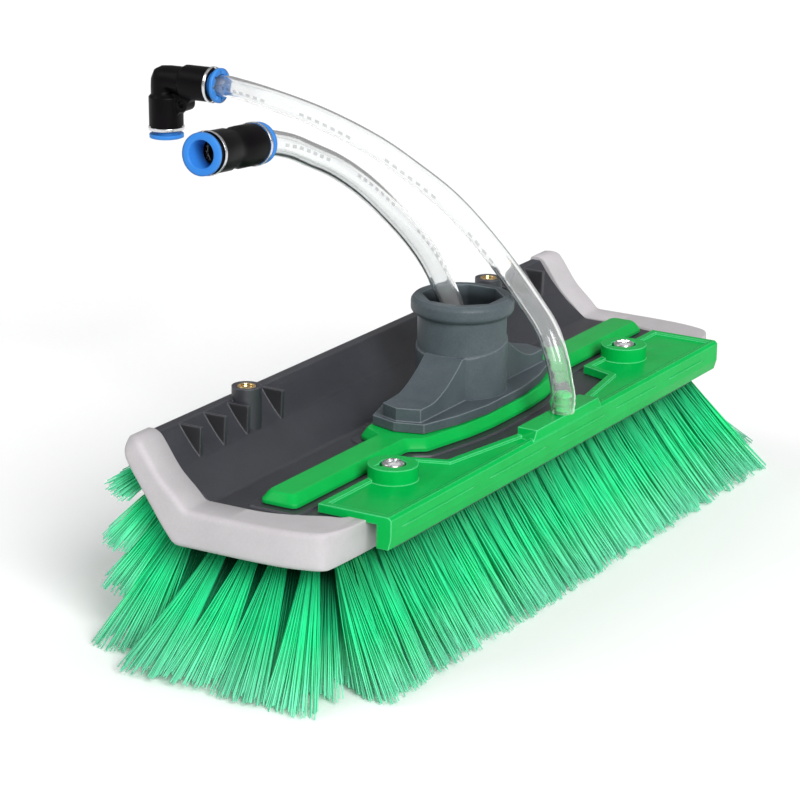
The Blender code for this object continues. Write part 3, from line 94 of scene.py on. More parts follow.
class Finish(Enum):
    """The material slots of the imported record."""

    STOCK = "stock"
    BUMPER = "bumper"
    BAR = "bar"
    PLATE = "plate"
    SOCKET = "socket"
    BRISTLE = "bristle"
    HOSE = "hose"
    FITTING = "fitting"
    COLLET = "collet"
    STEEL = "steel"
    BRASS = "brass"
    SEAL = "seal"


# Shapes


@dataclass(frozen=True)
class Shape:
    """Points and faces of a surface, with values that its points carry.

    Attributes:
        points: One row of X, Y, Z per point.
        faces: Arrays of point indices, one row per face, each of one corner count.
        values: Named numbers, one per point, that a material may read.
    """

    points: Array
    faces: tuple[Array, ...]
    values: dict[str, Array] = field(default_factory=dict)

    def placed(self, matrix: Matrix) -> "Shape":
        """The shape moved by a matrix."""
        turn = np.array(matrix)
        return Shape(self.points @ turn[:3, :3].T + turn[:3, 3], self.faces, self.values)

    def shifted(self, offset: Sequence[float]) -> "Shape":
        """The shape moved by an offset."""
        return Shape(self.points + np.array(offset), self.faces, self.values)


def joined(shapes: Sequence[Shape]) -> Shape:
    """Several shapes as one.

    Args:
        shapes: Shapes that carry the same values.

    Returns:
        One shape that holds them all.
    """
    starts = np.cumsum([0] + [len(shape.points) for shape in shapes])
    faces = tuple(part + start for shape, start in zip(shapes, starts) for part in shape.faces)
    values = {name: np.concatenate([shape.values[name] for shape in shapes])
              for name in shapes[0].values}
    return Shape(np.concatenate([shape.points for shape in shapes]), faces, values)


def grid_faces(rows: int, columns: int, close_rows: bool = False, close_columns: bool = False) -> Array:
    """The quads of a grid of points, row after row.

    Args:
        rows: How many rows the grid has.
        columns: How many points a row has.
        close_rows: Whether the last row joins the first.
        close_columns: Whether each row's last point joins its first.

    Returns:
        One row of four indices per quad.
    """
    row = np.arange(rows if close_rows else rows - 1)
    column = np.arange(columns if close_columns else columns - 1)
    row, column = (part.ravel() for part in np.meshgrid(row, column, indexing="ij"))
    next_row = (row + 1) % rows
    next_column = (column + 1) % columns
    return np.stack([row * columns + column, row * columns + next_column,
                     next_row * columns + next_column, next_row * columns + column], axis=1)


def even_turn(steps: int) -> Array:
    """The angles of a full turn's even steps, from 0."""
    return np.arange(steps) * (2 * math.pi / steps)


def unit(vectors: Array) -> Array:
    """Vectors of length 1 that point where the given ones do."""
    return vectors / np.linalg.norm(vectors, axis=-1, keepdims=True)


def distances(line: Array) -> Array:
    """How far along a line each of its points lies."""
    return np.concatenate([[0], np.cumsum(np.linalg.norm(np.diff(line, axis=0), axis=1))])


def corner_curves(start: Array, corner: Array, end: Array, steps: int) -> Array:
    """Quadratic curves, start (1 - s)^2 + 2 corner s (1 - s) + end s^2.

    Args:
        start: Where each curve starts.
        corner: The corner that each curve rounds off.
        end: Where each curve ends.
        steps: How many pieces a curve has.

    Returns:
        One row of points per curve.
    """
    share = np.linspace(0, 1, steps + 1)[None, :, None]
    return (start[:, None] * (1 - share) ** 2 + corner[:, None] * 2 * share * (1 - share)
            + end[:, None] * share ** 2)


def revolved(profile: Sequence[tuple[float, float]], sides: int = 64, closed: bool = False,
             change: Callable[[Array, Array, Array], tuple[Array, Array]] | None = None) -> Shape:
    """A profile turned about Z: x = r cos a, y = r sin a, z = h.

    Args:
        profile: Radius and height of each point of the profile.
        sides: How many steps make a full turn.
        closed: Whether the profile's last point joins its first.
        change: Takes radius, height and angle grids and gives new radii and heights.

    Returns:
        The turned surface.
    """
    radius, height = np.array(profile, float).T
    radii = np.repeat(radius[:, None], sides, axis=1)
    heights = np.repeat(height[:, None], sides, axis=1)
    angles = np.repeat(even_turn(sides)[None, :], len(profile), axis=0)
    if change is not None:
        radii, heights = change(radii, heights, angles)
    points = np.stack([radii * np.cos(angles), radii * np.sin(angles), heights], axis=-1)
    return Shape(points.reshape(-1, 3), (grid_faces(len(profile), sides, closed, True),))


def rounded_profile(corners: Sequence[Span], radius: float, steps: int = 4) -> list[Span]:
    """A closed profile with each corner turned into a small curve.

    Args:
        corners: The profile's corners as radius and height.
        radius: How far from a corner its curve begins.
        steps: How many pieces a curve has.

    Returns:
        The points of the finer profile.
    """
    points = np.array(corners, float)
    ends = []
    for neighbour in (1, -1):
        way = np.roll(points, neighbour, axis=0) - points
        reach = np.minimum(radius, LARGEST_SHARE * np.linalg.norm(way, axis=1))
        ends.append(points + unit(way) * reach[:, None])
    curves = corner_curves(ends[0], points, ends[1], steps)
    return [tuple(point) for point in curves.reshape(-1, 2)]


def smoothstep(value: Array, low: float, high: float) -> Array:
    """0 below low, 1 above high and a smooth rise between them."""
    share = np.clip((value - low) / (high - low), 0, 1)
    return share * share * (3 - 2 * share)


def box_shape(low: Sequence[float], high: Sequence[float]) -> Shape:
    """A plain box.

    Args:
        low: Its lowest corner.
        high: Its highest corner.

    Returns:
        The box.
    """
    corners = np.stack(np.meshgrid(*zip(low, high), indexing="ij"), axis=-1).reshape(-1, 3)
    faces = np.array([(0, 1, 3, 2), (4, 6, 7, 5), (0, 4, 5, 1), (2, 3, 7, 6), (0, 2, 6, 4), (1, 5, 7, 3)])
    return Shape(corners.astype(float), (faces,))


def curved_path(knots: Array, reaches: Array, steps: int = 5) -> Array:
    """Points on the straight runs between knots, with a curve at each inner knot.

    A knot P between the points A and B of its runs gives the curve
    A (1 - s)^2 + 2 P s (1 - s) + B s^2. A knot may hold many points, three numbers each.

    Args:
        knots: One row per knot.
        reaches: How far from each inner knot its curve begins, in metres.
        steps: How many pieces a curve has.

    Returns:
        One row per point of the path.
    """
    lengths = np.linalg.norm(np.diff(knots, axis=0), axis=1) / math.sqrt(knots.shape[1] / 3)
    inner = knots[1:-1]
    start = inner + (knots[:-2] - inner) * np.minimum(reaches / lengths[:-1], LARGEST_SHARE)[:, None]
    end = inner + (knots[2:] - inner) * np.minimum(reaches / lengths[1:], LARGEST_SHARE)[:, None]
    curves = corner_curves(start, inner, end, steps)
    return np.vstack([knots[:1], curves.reshape(-1, knots.shape[1]), knots[-1:]])


# Pieces


def make_mesh(name: str, shape: Shape, smooth_angle: float = 40.0) -> bpy.types.Mesh:
    """A mesh from a shape, in the row frame.

    Args:
        name: The mesh's name.
        shape: The surface, in the row frame.
        smooth_angle: Edges sharper than this many degrees stay sharp.

    Returns:
        The mesh, with the shape's values as attributes.
    """
    mesh = bpy.data.meshes.new(name)
    counts = np.concatenate([np.full(len(part), part.shape[1]) for part in shape.faces])
    corners = np.concatenate([part.ravel() for part in shape.faces]).astype(np.int32)
    mesh.vertices.add(len(shape.points))
    mesh.vertices.foreach_set("co", shape.points.astype(np.float32).ravel())
    mesh.loops.add(len(corners))
    mesh.loops.foreach_set("vertex_index", corners)
    mesh.polygons.add(len(counts))
    mesh.polygons.foreach_set("loop_start", (np.cumsum(counts) - counts).astype(np.int32))
    mesh.update(calc_edges=True)
    for value_name, numbers in shape.values.items():
        attribute = mesh.attributes.new(value_name, "FLOAT", "POINT")
        attribute.data.foreach_set("value", numbers.astype(np.float32))
    mesh.shade_smooth()
    if smooth_angle < 180:
        mesh.set_sharp_from_angle(angle=math.radians(smooth_angle))
    return mesh


def scene_object(name: str, data: bpy.types.ID) -> bpy.types.Object:
    """A new object at the scene's origin.

    Args:
        name: Its name.
        data: Its mesh, light or camera.

    Returns:
        The new object.
    """
    made = bpy.data.objects.new(name, data)
    bpy.context.scene.collection.objects.link(made)
    return made


@dataclass
class Workshop:
    """Makes pieces, gives them finishes and lets them ride on the CAD bodies.

    Attributes:
        materials: The material of each finish.
    """

    frame: dict
    materials: dict[Finish, bpy.types.Material]

    def body_of(self, node: str) -> str:
        """The CAD body that carries a node."""
        return self.frame["nodes"][node]["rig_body"]

    def piece(self, name: str, mesh: bpy.types.Mesh, finish: Finish, body: str,
              stands_for: Iterable[str] = ()) -> bpy.types.Object:
        """Links a mesh as a piece of the object.

        Args:
            name: The piece's name.
            mesh: Its mesh, in the row frame.
            finish: Its material slot.
            body: The CAD body that it rides on.
            stands_for: CAD nodes that it replaces.

        Returns:
            The new object.
        """
        mesh.materials.clear()
        mesh.materials.append(self.materials[finish])
        made = scene_object(name, mesh)
        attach(made, body)
        nodes = list(stands_for)
        if nodes:
            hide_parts(*nodes)
        LOG.info("piece %s: %d faces, rides on %s", name, len(mesh.polygons), body)
        return made

    def surface(self, name: str, shape: Shape, finish: Finish, body: str,
                stands_for: Iterable[str] = (), smooth_angle: float = 40.0) -> bpy.types.Object:
        """A piece from a shape that is in the stock's frame."""
        placed = shape.shifted(FRAME_SHIFT)
        return self.piece(name, make_mesh(name, placed, smooth_angle), finish, body, stands_for)

    def refined(self, node: str, finish: Finish, bevel: float, segments: int = 3,
                flatten: float = 1.0, angle: float = 30.0) -> bpy.types.Object:
        """A finer copy of a CAD node, with its flat faces joined and its edges rounded.

        Args:
            node: The CAD node.
            finish: Its material slot.
            bevel: How wide the rounded edges are.
            segments: How many faces a rounded edge has.
            flatten: Faces that turn by less than this many degrees are joined.
            angle: Edges that turn by more than this many degrees are rounded.

        Returns:
            The new object, which replaces the node.
        """
        mesh = self.frame["nodes"][node].data.copy()
        mesh.name = f"{node}_detail"
        builder = bmesh.new()
        builder.from_mesh(mesh)
        bmesh.ops.remove_doubles(builder, verts=builder.verts[:], dist=WELD)
        bmesh.ops.dissolve_limit(builder, angle_limit=math.radians(flatten), use_dissolve_boundaries=False,
                                 verts=builder.verts[:], edges=builder.edges[:])
        bmesh.ops.recalc_face_normals(builder, faces=builder.faces[:])
        builder.to_mesh(mesh)
        builder.free()
        mesh.shade_smooth()
        mesh.set_sharp_from_angle(angle=math.radians(angle + SHARP_MARGIN))
        made = self.piece(f"{node}_detail", mesh, finish, self.body_of(node), [node])
        soften(made, bevel, segments, angle)
        return made

    def keep(self, node: str, finish: Finish) -> None:
        """Shows a CAD node as it is, with its material.

        Args:
            node: The CAD node.
            finish: Its material slot.
        """
        carried = self.frame["nodes"][node]
        carried.data.materials.clear()
        carried.data.materials.append(self.materials[finish])
        LOG.info("kept %s", node)


def soften(piece: bpy.types.Object, width: float, segments: int, angle: float = 30.0) -> None:
    """Rounds a piece's sharp edges with a live modifier.

    Args:
        piece: The piece.
        width: How wide the rounded edges are.
        segments: How many faces a rounded edge has.
        angle: Edges that turn by more than this many degrees are rounded.
    """
    bevel = piece.modifiers.new("edges", "BEVEL")
    bevel.width = width
    bevel.segments = segments
    bevel.limit_method = "ANGLE"
    bevel.angle_limit = math.radians(angle)
    bevel.use_clamp_overlap = True
    bevel.harden_normals = True
    bevel.miter_outer = "MITER_ARC"


# Materials


class Nodes:
    """A short way to fill a node tree."""

    def __init__(self, tree: bpy.types.NodeTree) -> None:
        """Keeps the tree."""
        self.tree = tree

    def fill(self, socket: bpy.types.NodeSocket, value: object) -> None:
        """Links a socket to an output, or gives it a value of its own.

        Args:
            socket: An input socket.
            value: The output or the value.
        """
        if isinstance(value, bpy.types.NodeSocket):
            self.tree.links.new(value, socket)
        else:
            socket.default_value = value

    def set(self, node: bpy.types.Node, **inputs: object) -> None:
        """Sets a node's properties and sockets.

        Args:
            node: The node.
            **inputs: Properties in lower case, and sockets as a value or an output to link.
        """
        for name, value in inputs.items():
            if name in node.bl_rna.properties:
                setattr(node, name, value)
            else:
                self.fill(node.inputs[name.replace("_", " ")], value)

    def add(self, kind: str, **inputs: object) -> bpy.types.Node:
        """Adds a node.

        Args:
            kind: The node's type name without its prefix.
            **inputs: Properties and sockets, as set takes them.

        Returns:
            The new node.
        """
        node = self.tree.nodes.new("ShaderNode" + kind)
        self.set(node, **inputs)
        return node

    def carried(self, name: str) -> bpy.types.NodeSocket:
        """A value that the surface carries."""
        return self.add("Attribute", attribute_name=name).outputs["Fac"]

    def noise(self, scale: object, detail: float, **inputs: object) -> bpy.types.NodeSocket:
        """A noise in the object's own space."""
        place = self.add("TexCoord").outputs["Object"]
        return self.add("TexNoise", Vector=place, Scale=scale, Detail=detail, **inputs).outputs["Fac"]

    def math(self, operation: str, *values: object) -> bpy.types.NodeSocket:
        """A Math node.

        Args:
            operation: Its operation.
            *values: Its inputs, each a value or an output to link.

        Returns:
            Its result.
        """
        node = self.add("Math", operation=operation)
        for socket, value in zip(node.inputs, values):
            self.fill(socket, value)
        return node.outputs[0]

    def remap(self, value: object, low: float, high: float, to_low: float = 0.0,
              to_high: float = 1.0) -> bpy.types.NodeSocket:
        """A clamped Map Range."""
        node = self.add("MapRange", Value=value, From_Min=low, From_Max=high, To_Min=to_low, To_Max=to_high)
        return node.outputs["Result"]

    def mix(self, share: object, first: object, second: object,
            blend: str = "MIX") -> bpy.types.NodeSocket:
        """A colour from two colours, each given as a value or an output.

        Args:
            share: How much of the second colour there is.
            first: The first colour.
            second: The second colour.
            blend: How the second colour lies over the first.

        Returns:
            The mixed colour.
        """
        node = self.add("Mix", data_type="RGBA", blend_type=blend)
        sockets = {socket.identifier: socket for socket in node.inputs}
        for name, value in (("Factor_Float", share), ("A_Color", first), ("B_Color", second)):
            self.fill(sockets[name], (*value, 1.0) if isinstance(value, tuple) else value)
        return next(s for s in node.outputs if s.identifier == "Result_Color")


def new_group(name: str, inputs: dict[str, float],
              outputs: dict[str, str]) -> tuple[bpy.types.NodeTree, Nodes, dict, dict]:
    """A node group with float inputs.

    Args:
        name: The group's name.
        inputs: Default value of each input.
        outputs: Socket type of each output.

    Returns:
        The group, its node helper, its input sockets and its output sockets by name.
    """
    group = bpy.data.node_groups.new(name, "ShaderNodeTree")
    for socket, value in inputs.items():
        made = group.interface.new_socket(name=socket, in_out="INPUT", socket_type="NodeSocketFloat")
        made.default_value = value
    for socket, kind in outputs.items():
        group.interface.new_socket(name=socket, in_out="OUTPUT", socket_type=kind)
    entry = group.nodes.new("NodeGroupInput")
    leave = group.nodes.new("NodeGroupOutput")
    return group, Nodes(group), {s.name: s for s in entry.outputs}, {s.name: s for s in leave.inputs}


def new_material(name: str) -> tuple[bpy.types.Material, Nodes, bpy.types.Node]:
    """A material with nothing set.

    Args:
        name: The material's name.

    Returns:
        The material, its node helper and its Principled shader.
    """
    material = bpy.data.materials.new(name)
    material.use_nodes = True
    return material, Nodes(material.node_tree), material.node_tree.nodes["Principled BSDF"]


@dataclass(frozen=True)
class MouldedEffect:
    """The look of moulded plastic: a fine grain, soft blotches, and rounded edges, lighter as wear and as a
    painted highlight.

    Attributes:
        grain_scale: How fine the grain is.
        grain_depth: How deep the grain is.
        blotch_scale: How fine the blotches are.
        edge_radius: How wide the edges look.
        speckle: The grain's share in the blotches, and what is added to it.
        blotch_span: The mixed noise at which the darker and the main colour are reached.
        edge_span: How far the rounded normal has to turn for an edge to begin and to be full.
    """

    grain_scale: float = 2500.0
    grain_depth: float = 0.00002
    blotch_scale: float = 90.0
    edge_radius: float = 0.0007
    speckle: Span = (0.7, 0.15)
    blotch_span: Span = (0.38, 0.62)
    edge_span: Span = (0.02, 0.22)

    def build(self) -> bpy.types.NodeTree:
        """The effect's node group.

        Returns:
            A group that gives a normal, a blotch mask and an edge mask.
        """
        group, nodes, entry, leave = new_group(
            "moulded_plastic",
            {"Grain Scale": self.grain_scale, "Grain Depth": self.grain_depth,
             "Blotch Scale": self.blotch_scale, "Edge Radius": self.edge_radius},
            {"Normal": "NodeSocketVector", "Blotch": "NodeSocketFloat", "Edge": "NodeSocketFloat"})
        grain = nodes.noise(entry["Grain Scale"], 3.0, Roughness=0.6)
        cloud = nodes.noise(entry["Blotch Scale"], 5.0, Roughness=0.6)
        rounded = nodes.add("Bevel", samples=4, Radius=entry["Edge Radius"]).outputs["Normal"]
        bump = nodes.add("Bump", Height=grain, Distance=entry["Grain Depth"], Strength=1.0, Normal=rounded)
        turn = nodes.add("VectorMath", operation="DOT_PRODUCT")
        nodes.fill(turn.inputs[0], rounded)
        nodes.fill(turn.inputs[1], nodes.add("NewGeometry").outputs["Normal"])
        bend = nodes.math("SUBTRACT", 1.0, turn.outputs["Value"])
        speckled = nodes.math("MULTIPLY_ADD", grain, *self.speckle)
        mottle = nodes.math("MULTIPLY", nodes.math("ADD", speckled, cloud), 0.5)
        nodes.fill(leave["Normal"], bump.outputs["Normal"])
        nodes.fill(leave["Blotch"], nodes.remap(mottle, *self.blotch_span))
        nodes.fill(leave["Edge"], nodes.remap(bend, *self.edge_span))
        return group


@dataclass(frozen=True)
class TurnedEffect:
    """The look of turned metal: fine marks of uneven roughness.

    Attributes:
        scale: How fine the marks are.
        depth: How deep the marks are.
        roughness: The lowest and the highest roughness.
    """

    scale: float = 3000.0
    depth: float = 0.000004
    roughness: Span = (0.16, 0.34)

    def build(self) -> bpy.types.NodeTree:
        """The effect's node group.

        Returns:
            A group that gives a normal and a roughness.
        """
        group, nodes, entry, leave = new_group("turned_metal", {"Scale": self.scale, "Depth": self.depth},
                                               {"Normal": "NodeSocketVector", "Roughness": "NodeSocketFloat"})
        noise = nodes.noise(entry["Scale"], 2.0)
        bump = nodes.add("Bump", Height=noise, Distance=entry["Depth"], Strength=1.0)
        nodes.fill(leave["Normal"], bump.outputs["Normal"])
        nodes.fill(leave["Roughness"], nodes.remap(noise, *NOISE_SPAN, *self.roughness))
        return group


@dataclass(frozen=True)
class Plastic:
    """A moulded plastic or rubber.

    Attributes:
        colour: Its main colour, linear.
        deep: The colour of its darker blotches, linear.
        edge: The colour of its edges, linear, lighter as wear and as a painted highlight.
        roughness: How dull it is.
        grain: How deep its grain is.
        grain_scale: How fine its grain is.
        specular: How strongly it mirrors, where 0.5 is common plastic.
        painted_shade_share: What is left of the darker colour where painted shade darkens the surface.
    """

    colour: Colour
    deep: Colour
    edge: Colour
    roughness: float
    grain: float = 0.00002
    grain_scale: float = 2500.0
    specular: float = 0.3
    painted_shade_share: float = 0.22

    def build(self, name: str, effect: bpy.types.NodeTree) -> bpy.types.Material:
        """The material.

        Args:
            name: The material's name.
            effect: The moulded plastic group.

        Returns:
            The new material.
        """
        material, nodes, shader = new_material(name)
        look = nodes.add("Group", node_tree=effect, Grain_Scale=self.grain_scale,
                         Grain_Depth=self.grain).outputs
        base = nodes.mix(look["Blotch"], self.deep, self.colour)
        # Lighter edges, partly wear and partly a painted highlight
        worn_and_highlit = nodes.mix(look["Edge"], base, self.edge)
        # Painted shade where the surface is marked for it: the colour turns towards a dark share of the
        # blotch colour
        painted_shade = tuple(self.painted_shade_share * part for part in self.deep)
        nodes.set(shader, Base_Color=nodes.mix(nodes.carried("painted_shade"), worn_and_highlit, painted_shade), Normal=look["Normal"],
                  Roughness=self.roughness, Specular_IOR_Level=self.specular)
        return material


@dataclass(frozen=True)
class Metal:
    """A turned metal."""

    colour: Colour

    def build(self, name: str, effect: bpy.types.NodeTree) -> bpy.types.Material:
        """The material, whose roughness and grain come from a group.

        Args:
            name: The material's name.
            effect: The turned metal group.

        Returns:
            The new material.
        """
        material, nodes, shader = new_material(name)
        look = nodes.add("Group", node_tree=effect).outputs
        nodes.set(shader, Base_Color=(*self.colour, 1.0), Metallic=1.0, Roughness=look["Roughness"],
                  Normal=look["Normal"])
        return material


@dataclass(frozen=True)
class BristleLook:
    """The filaments' material: darker in the depth of a tuft as painted shade, lighter at the tips.

    Attributes:
        root: The colour at the roots, darkened as painted shade, linear.
        middle: The colour half way, linear.
        tip: The colour at the tips, linear.
        root_span: The shares of the length over which the root's colour turns to the middle's.
        tip_span: The shares of the length over which the middle's colour turns to the tip's.
        dull: What the darkest filaments keep of their colour.
        bright: What the brightest filaments keep of their colour.
        strand_share: How much a filament's own value counts for its brightness.
        fleck_share: How much the noise counts for its brightness.
        fleck_scale: How fine the noise is along each axis.
        lift_span: The sums of both at which a filament is darkest and brightest.
        cover: What a painted shade leaves of the colour at the roots of tufts that stand behind others.
        root_shade_span: The shares of the length at which that shade begins and is full.
        glow: How much light the filaments give off, for what real ones let through.
        roughness: How dull they are.
        specular: How strongly they mirror.
    """

    root: Colour = (0.002, 0.20, 0.05)
    middle: Colour = (0.028, 0.93, 0.37)
    tip: Colour = (0.24, 0.96, 0.60)
    root_span: Span = (0.0, 0.45)
    tip_span: Span = (0.55, 1.0)
    dull: Colour = (0.56, 0.56, 0.56)
    bright: Colour = (0.93, 0.93, 0.93)
    strand_share: float = 0.75
    fleck_share: float = 0.5
    fleck_scale: tuple[float, float, float] = (420.0, 420.0, 40.0)
    lift_span: Span = (0.15, 1.1)
    cover: Colour = (0.06, 0.06, 0.06)
    root_shade_span: Span = (0.80, 0.20)
    glow: float = 0.05
    roughness: float = 0.42
    specular: float = 0.22

    def build(self, name: str) -> bpy.types.Material:
        """The material, which reads the filaments' own values.

        Args:
            name: The material's name.

        Returns:
            The new material.
        """
        material, nodes, shader = new_material(name)
        along = nodes.carried("along")
        place = nodes.add("TexCoord").outputs["Object"]
        drawn = nodes.add("Mapping", Vector=place, Scale=self.fleck_scale).outputs["Vector"]
        fleck = nodes.add("TexNoise", Vector=drawn, Scale=1.0, Detail=2.0).outputs["Fac"]
        # Painted shade: the colour darkens towards the roots, in the depth of the tufts
        root_shaded = nodes.mix(nodes.remap(along, *self.root_span), self.root, self.middle)
        upper = nodes.mix(nodes.remap(along, *self.tip_span), root_shaded, self.tip)
        lift = nodes.math("ADD", nodes.math("MULTIPLY", nodes.carried("strand"), self.strand_share),
                          nodes.math("MULTIPLY", fleck, self.fleck_share))
        lit = nodes.mix(nodes.remap(lift, *self.lift_span), self.dull, self.bright)
        # Painted shade at the roots of tufts that stand behind others
        painted_root_shade = nodes.math("MULTIPLY", nodes.carried("covered"), nodes.remap(along, *self.root_shade_span))
        colour = nodes.mix(1.0, upper, nodes.mix(painted_root_shade, lit, self.cover), "MULTIPLY")
        nodes.set(shader, Base_Color=colour, Emission_Color=colour, Emission_Strength=self.glow,
                  Roughness=self.roughness, Specular_IOR_Level=self.specular)
        return material


@dataclass(frozen=True)
class HoseLook:
    """The clear hose, with a row of small printed ticks along it and painted shade along its outlines.

    Attributes:
        colour: The colour where the hose is seen face on, linear.
        rim: The colour along its outlines, a painted shade, linear.
        facing: The blend of the facing value, which is 0 face on.
        facing_span: The facing values between which the one colour turns to the other.
        tick: The ticks' colour, linear.
        tick_pitch: The distance from tick to tick.
        tick_share: The share of that distance that a tick takes up.
        tick_half_width: Half of a tick's width, as a share of a full turn.
        tick_strength: How strongly the ticks show.
        group_pitch: The distance from one group of ticks to the next.
        group_share: The share of that distance that a group takes up.
        ripple_scale: How fine the ripples are.
        ripple_depth: How deep the ripples are.
        ripple_strength: How strongly the ripples bend the light.
        roughness: The lowest and the highest roughness.
        ior: The refractive index, low because the hose is filled with air.
        clearness: How much of the light passes.
        coat: How strong its gloss is.
    """

    colour: Colour = (0.97, 0.98, 0.98)
    rim: Colour = (0.76, 0.78, 0.79)
    facing: float = 0.45
    facing_span: Span = (0.50, 0.95)
    tick: Colour = (0.12, 0.12, 0.13)
    tick_pitch: float = 0.0042
    tick_share: float = 0.55
    tick_half_width: float = 0.022
    tick_strength: float = 0.55
    group_pitch: float = 0.046
    group_share: float = 0.62
    ripple_scale: float = 160.0
    ripple_depth: float = 0.0002
    ripple_strength: float = 0.35
    roughness: Span = (0.03, 0.07)
    ior: float = 1.08
    clearness: float = 0.94
    coat: float = 0.6

    def build(self, name: str) -> bpy.types.Material:
        """The material, whose ticks follow the hose's own values.

        Args:
            name: The material's name.

        Returns:
            The new material.
        """
        material, nodes, shader = new_material(name)
        along = nodes.carried("along")
        off_line = nodes.math("ABSOLUTE", nodes.math("SUBTRACT", nodes.carried("around"), 0.5))
        ticks = nodes.math("LESS_THAN", off_line, self.tick_half_width)
        for pitch, share in ((self.tick_pitch, self.tick_share), (self.group_pitch, self.group_share)):
            step = nodes.math("FRACT", nodes.math("DIVIDE", along, pitch))
            ticks = nodes.math("MULTIPLY", ticks, nodes.math("LESS_THAN", step, share))
        ticks = nodes.math("MULTIPLY", ticks, self.tick_strength)
        # Painted shade: the colour darkens towards the outlines, where the hose is seen edge on
        facing = nodes.add("LayerWeight", Blend=self.facing).outputs["Facing"]
        clear = nodes.mix(nodes.remap(facing, *self.facing_span), self.colour, self.rim)
        ripple = nodes.noise(self.ripple_scale, 2.0)
        bump = nodes.add("Bump", Height=ripple, Distance=self.ripple_depth, Strength=self.ripple_strength)
        nodes.set(shader, Base_Color=nodes.mix(ticks, clear, self.tick), Normal=bump.outputs["Normal"],
                  Roughness=nodes.remap(ripple, *NOISE_SPAN, *self.roughness), IOR=self.ior, Metallic=0.0,
                  Transmission_Weight=self.clearness, Coat_Weight=self.coat)
        return material


# The third colour of each plastic is that of its edges, lighter as wear and as a painted highlight
PLASTICS = {
    Finish.STOCK: Plastic((0.019, 0.020, 0.028), (0.011, 0.012, 0.018), (0.09, 0.09, 0.11), 0.50,
                          0.00006, 1100.0, 0.9),
    Finish.BUMPER: Plastic((0.47, 0.45, 0.465), (0.42, 0.40, 0.415), (0.60, 0.58, 0.59), 0.62,
                           0.00003, 1600.0),
    Finish.BAR: Plastic((0.003, 0.41, 0.068), (0.002, 0.35, 0.054), (0.10, 0.72, 0.27), 0.28,
                        0.00001, specular=0.10),
    Finish.PLATE: Plastic((0.001, 0.41, 0.072), (0.001, 0.36, 0.058), (0.16, 0.80, 0.38), 0.26,
                          0.00001, specular=0.07),
    Finish.SOCKET: Plastic((0.076, 0.098, 0.110), (0.054, 0.071, 0.082), (0.24, 0.28, 0.30), 0.46,
                           0.00004, 1300.0),
    Finish.FITTING: Plastic((0.003, 0.002, 0.003), (0.002, 0.002, 0.002), (0.012, 0.012, 0.012), 0.42,
                            0.00001, specular=0.08),
    Finish.COLLET: Plastic((0.035, 0.21, 0.62), (0.028, 0.18, 0.56), (0.12, 0.38, 0.82), 0.32,
                           0.00001, specular=0.15),
    Finish.SEAL: Plastic((0.02, 0.02, 0.02), (0.015, 0.015, 0.015), (0.05, 0.05, 0.05), 0.6, 0.00001),
}
METALS = {Finish.STEEL: Metal((0.72, 0.72, 0.73)), Finish.BRASS: Metal((0.78, 0.56, 0.25))}


def build_materials() -> dict[Finish, bpy.types.Material]:
    """The material of every finish.

    Returns:
        One material per finish.
    """
    made = {}
    for effect, looks in ((MouldedEffect().build(), PLASTICS), (TurnedEffect().build(), METALS)):
        for finish, look in looks.items():
            made[finish] = look.build(f"{finish.value}_finish", effect)
    made[Finish.BRISTLE] = BristleLook().build("bristle_finish")
    made[Finish.HOSE] = HoseLook().build("hose_finish")
    return made


# Bristles


@dataclass(frozen=True)
class Tufts:
    """Where tufts begin and end.

    Attributes:
        roots: The middle of each tuft's root.
        tips: The middle of each tuft's tips.
        root_axes: The row direction at each root.
        tip_axes: The row direction at each tip.
        depths: How far each tuft's tips reach from their middle in the row direction.
        outward: The direction in which each tuft leaves the stock.
        covered: 1 for a tuft that stands behind others, and 0 for an outer one; the first get painted shade
            at their roots.
    """

    roots: Array
    tips: Array
    root_axes: Array
    tip_axes: Array
    depths: Array
    outward: Array
    covered: Array

    def chosen(self, mask: Array) -> "Tufts":
        """The tufts that a mask picks."""
        return Tufts(self.roots[mask], self.tips[mask], self.root_axes[mask], self.tip_axes[mask],
                     self.depths[mask], self.outward[mask], self.covered[mask])


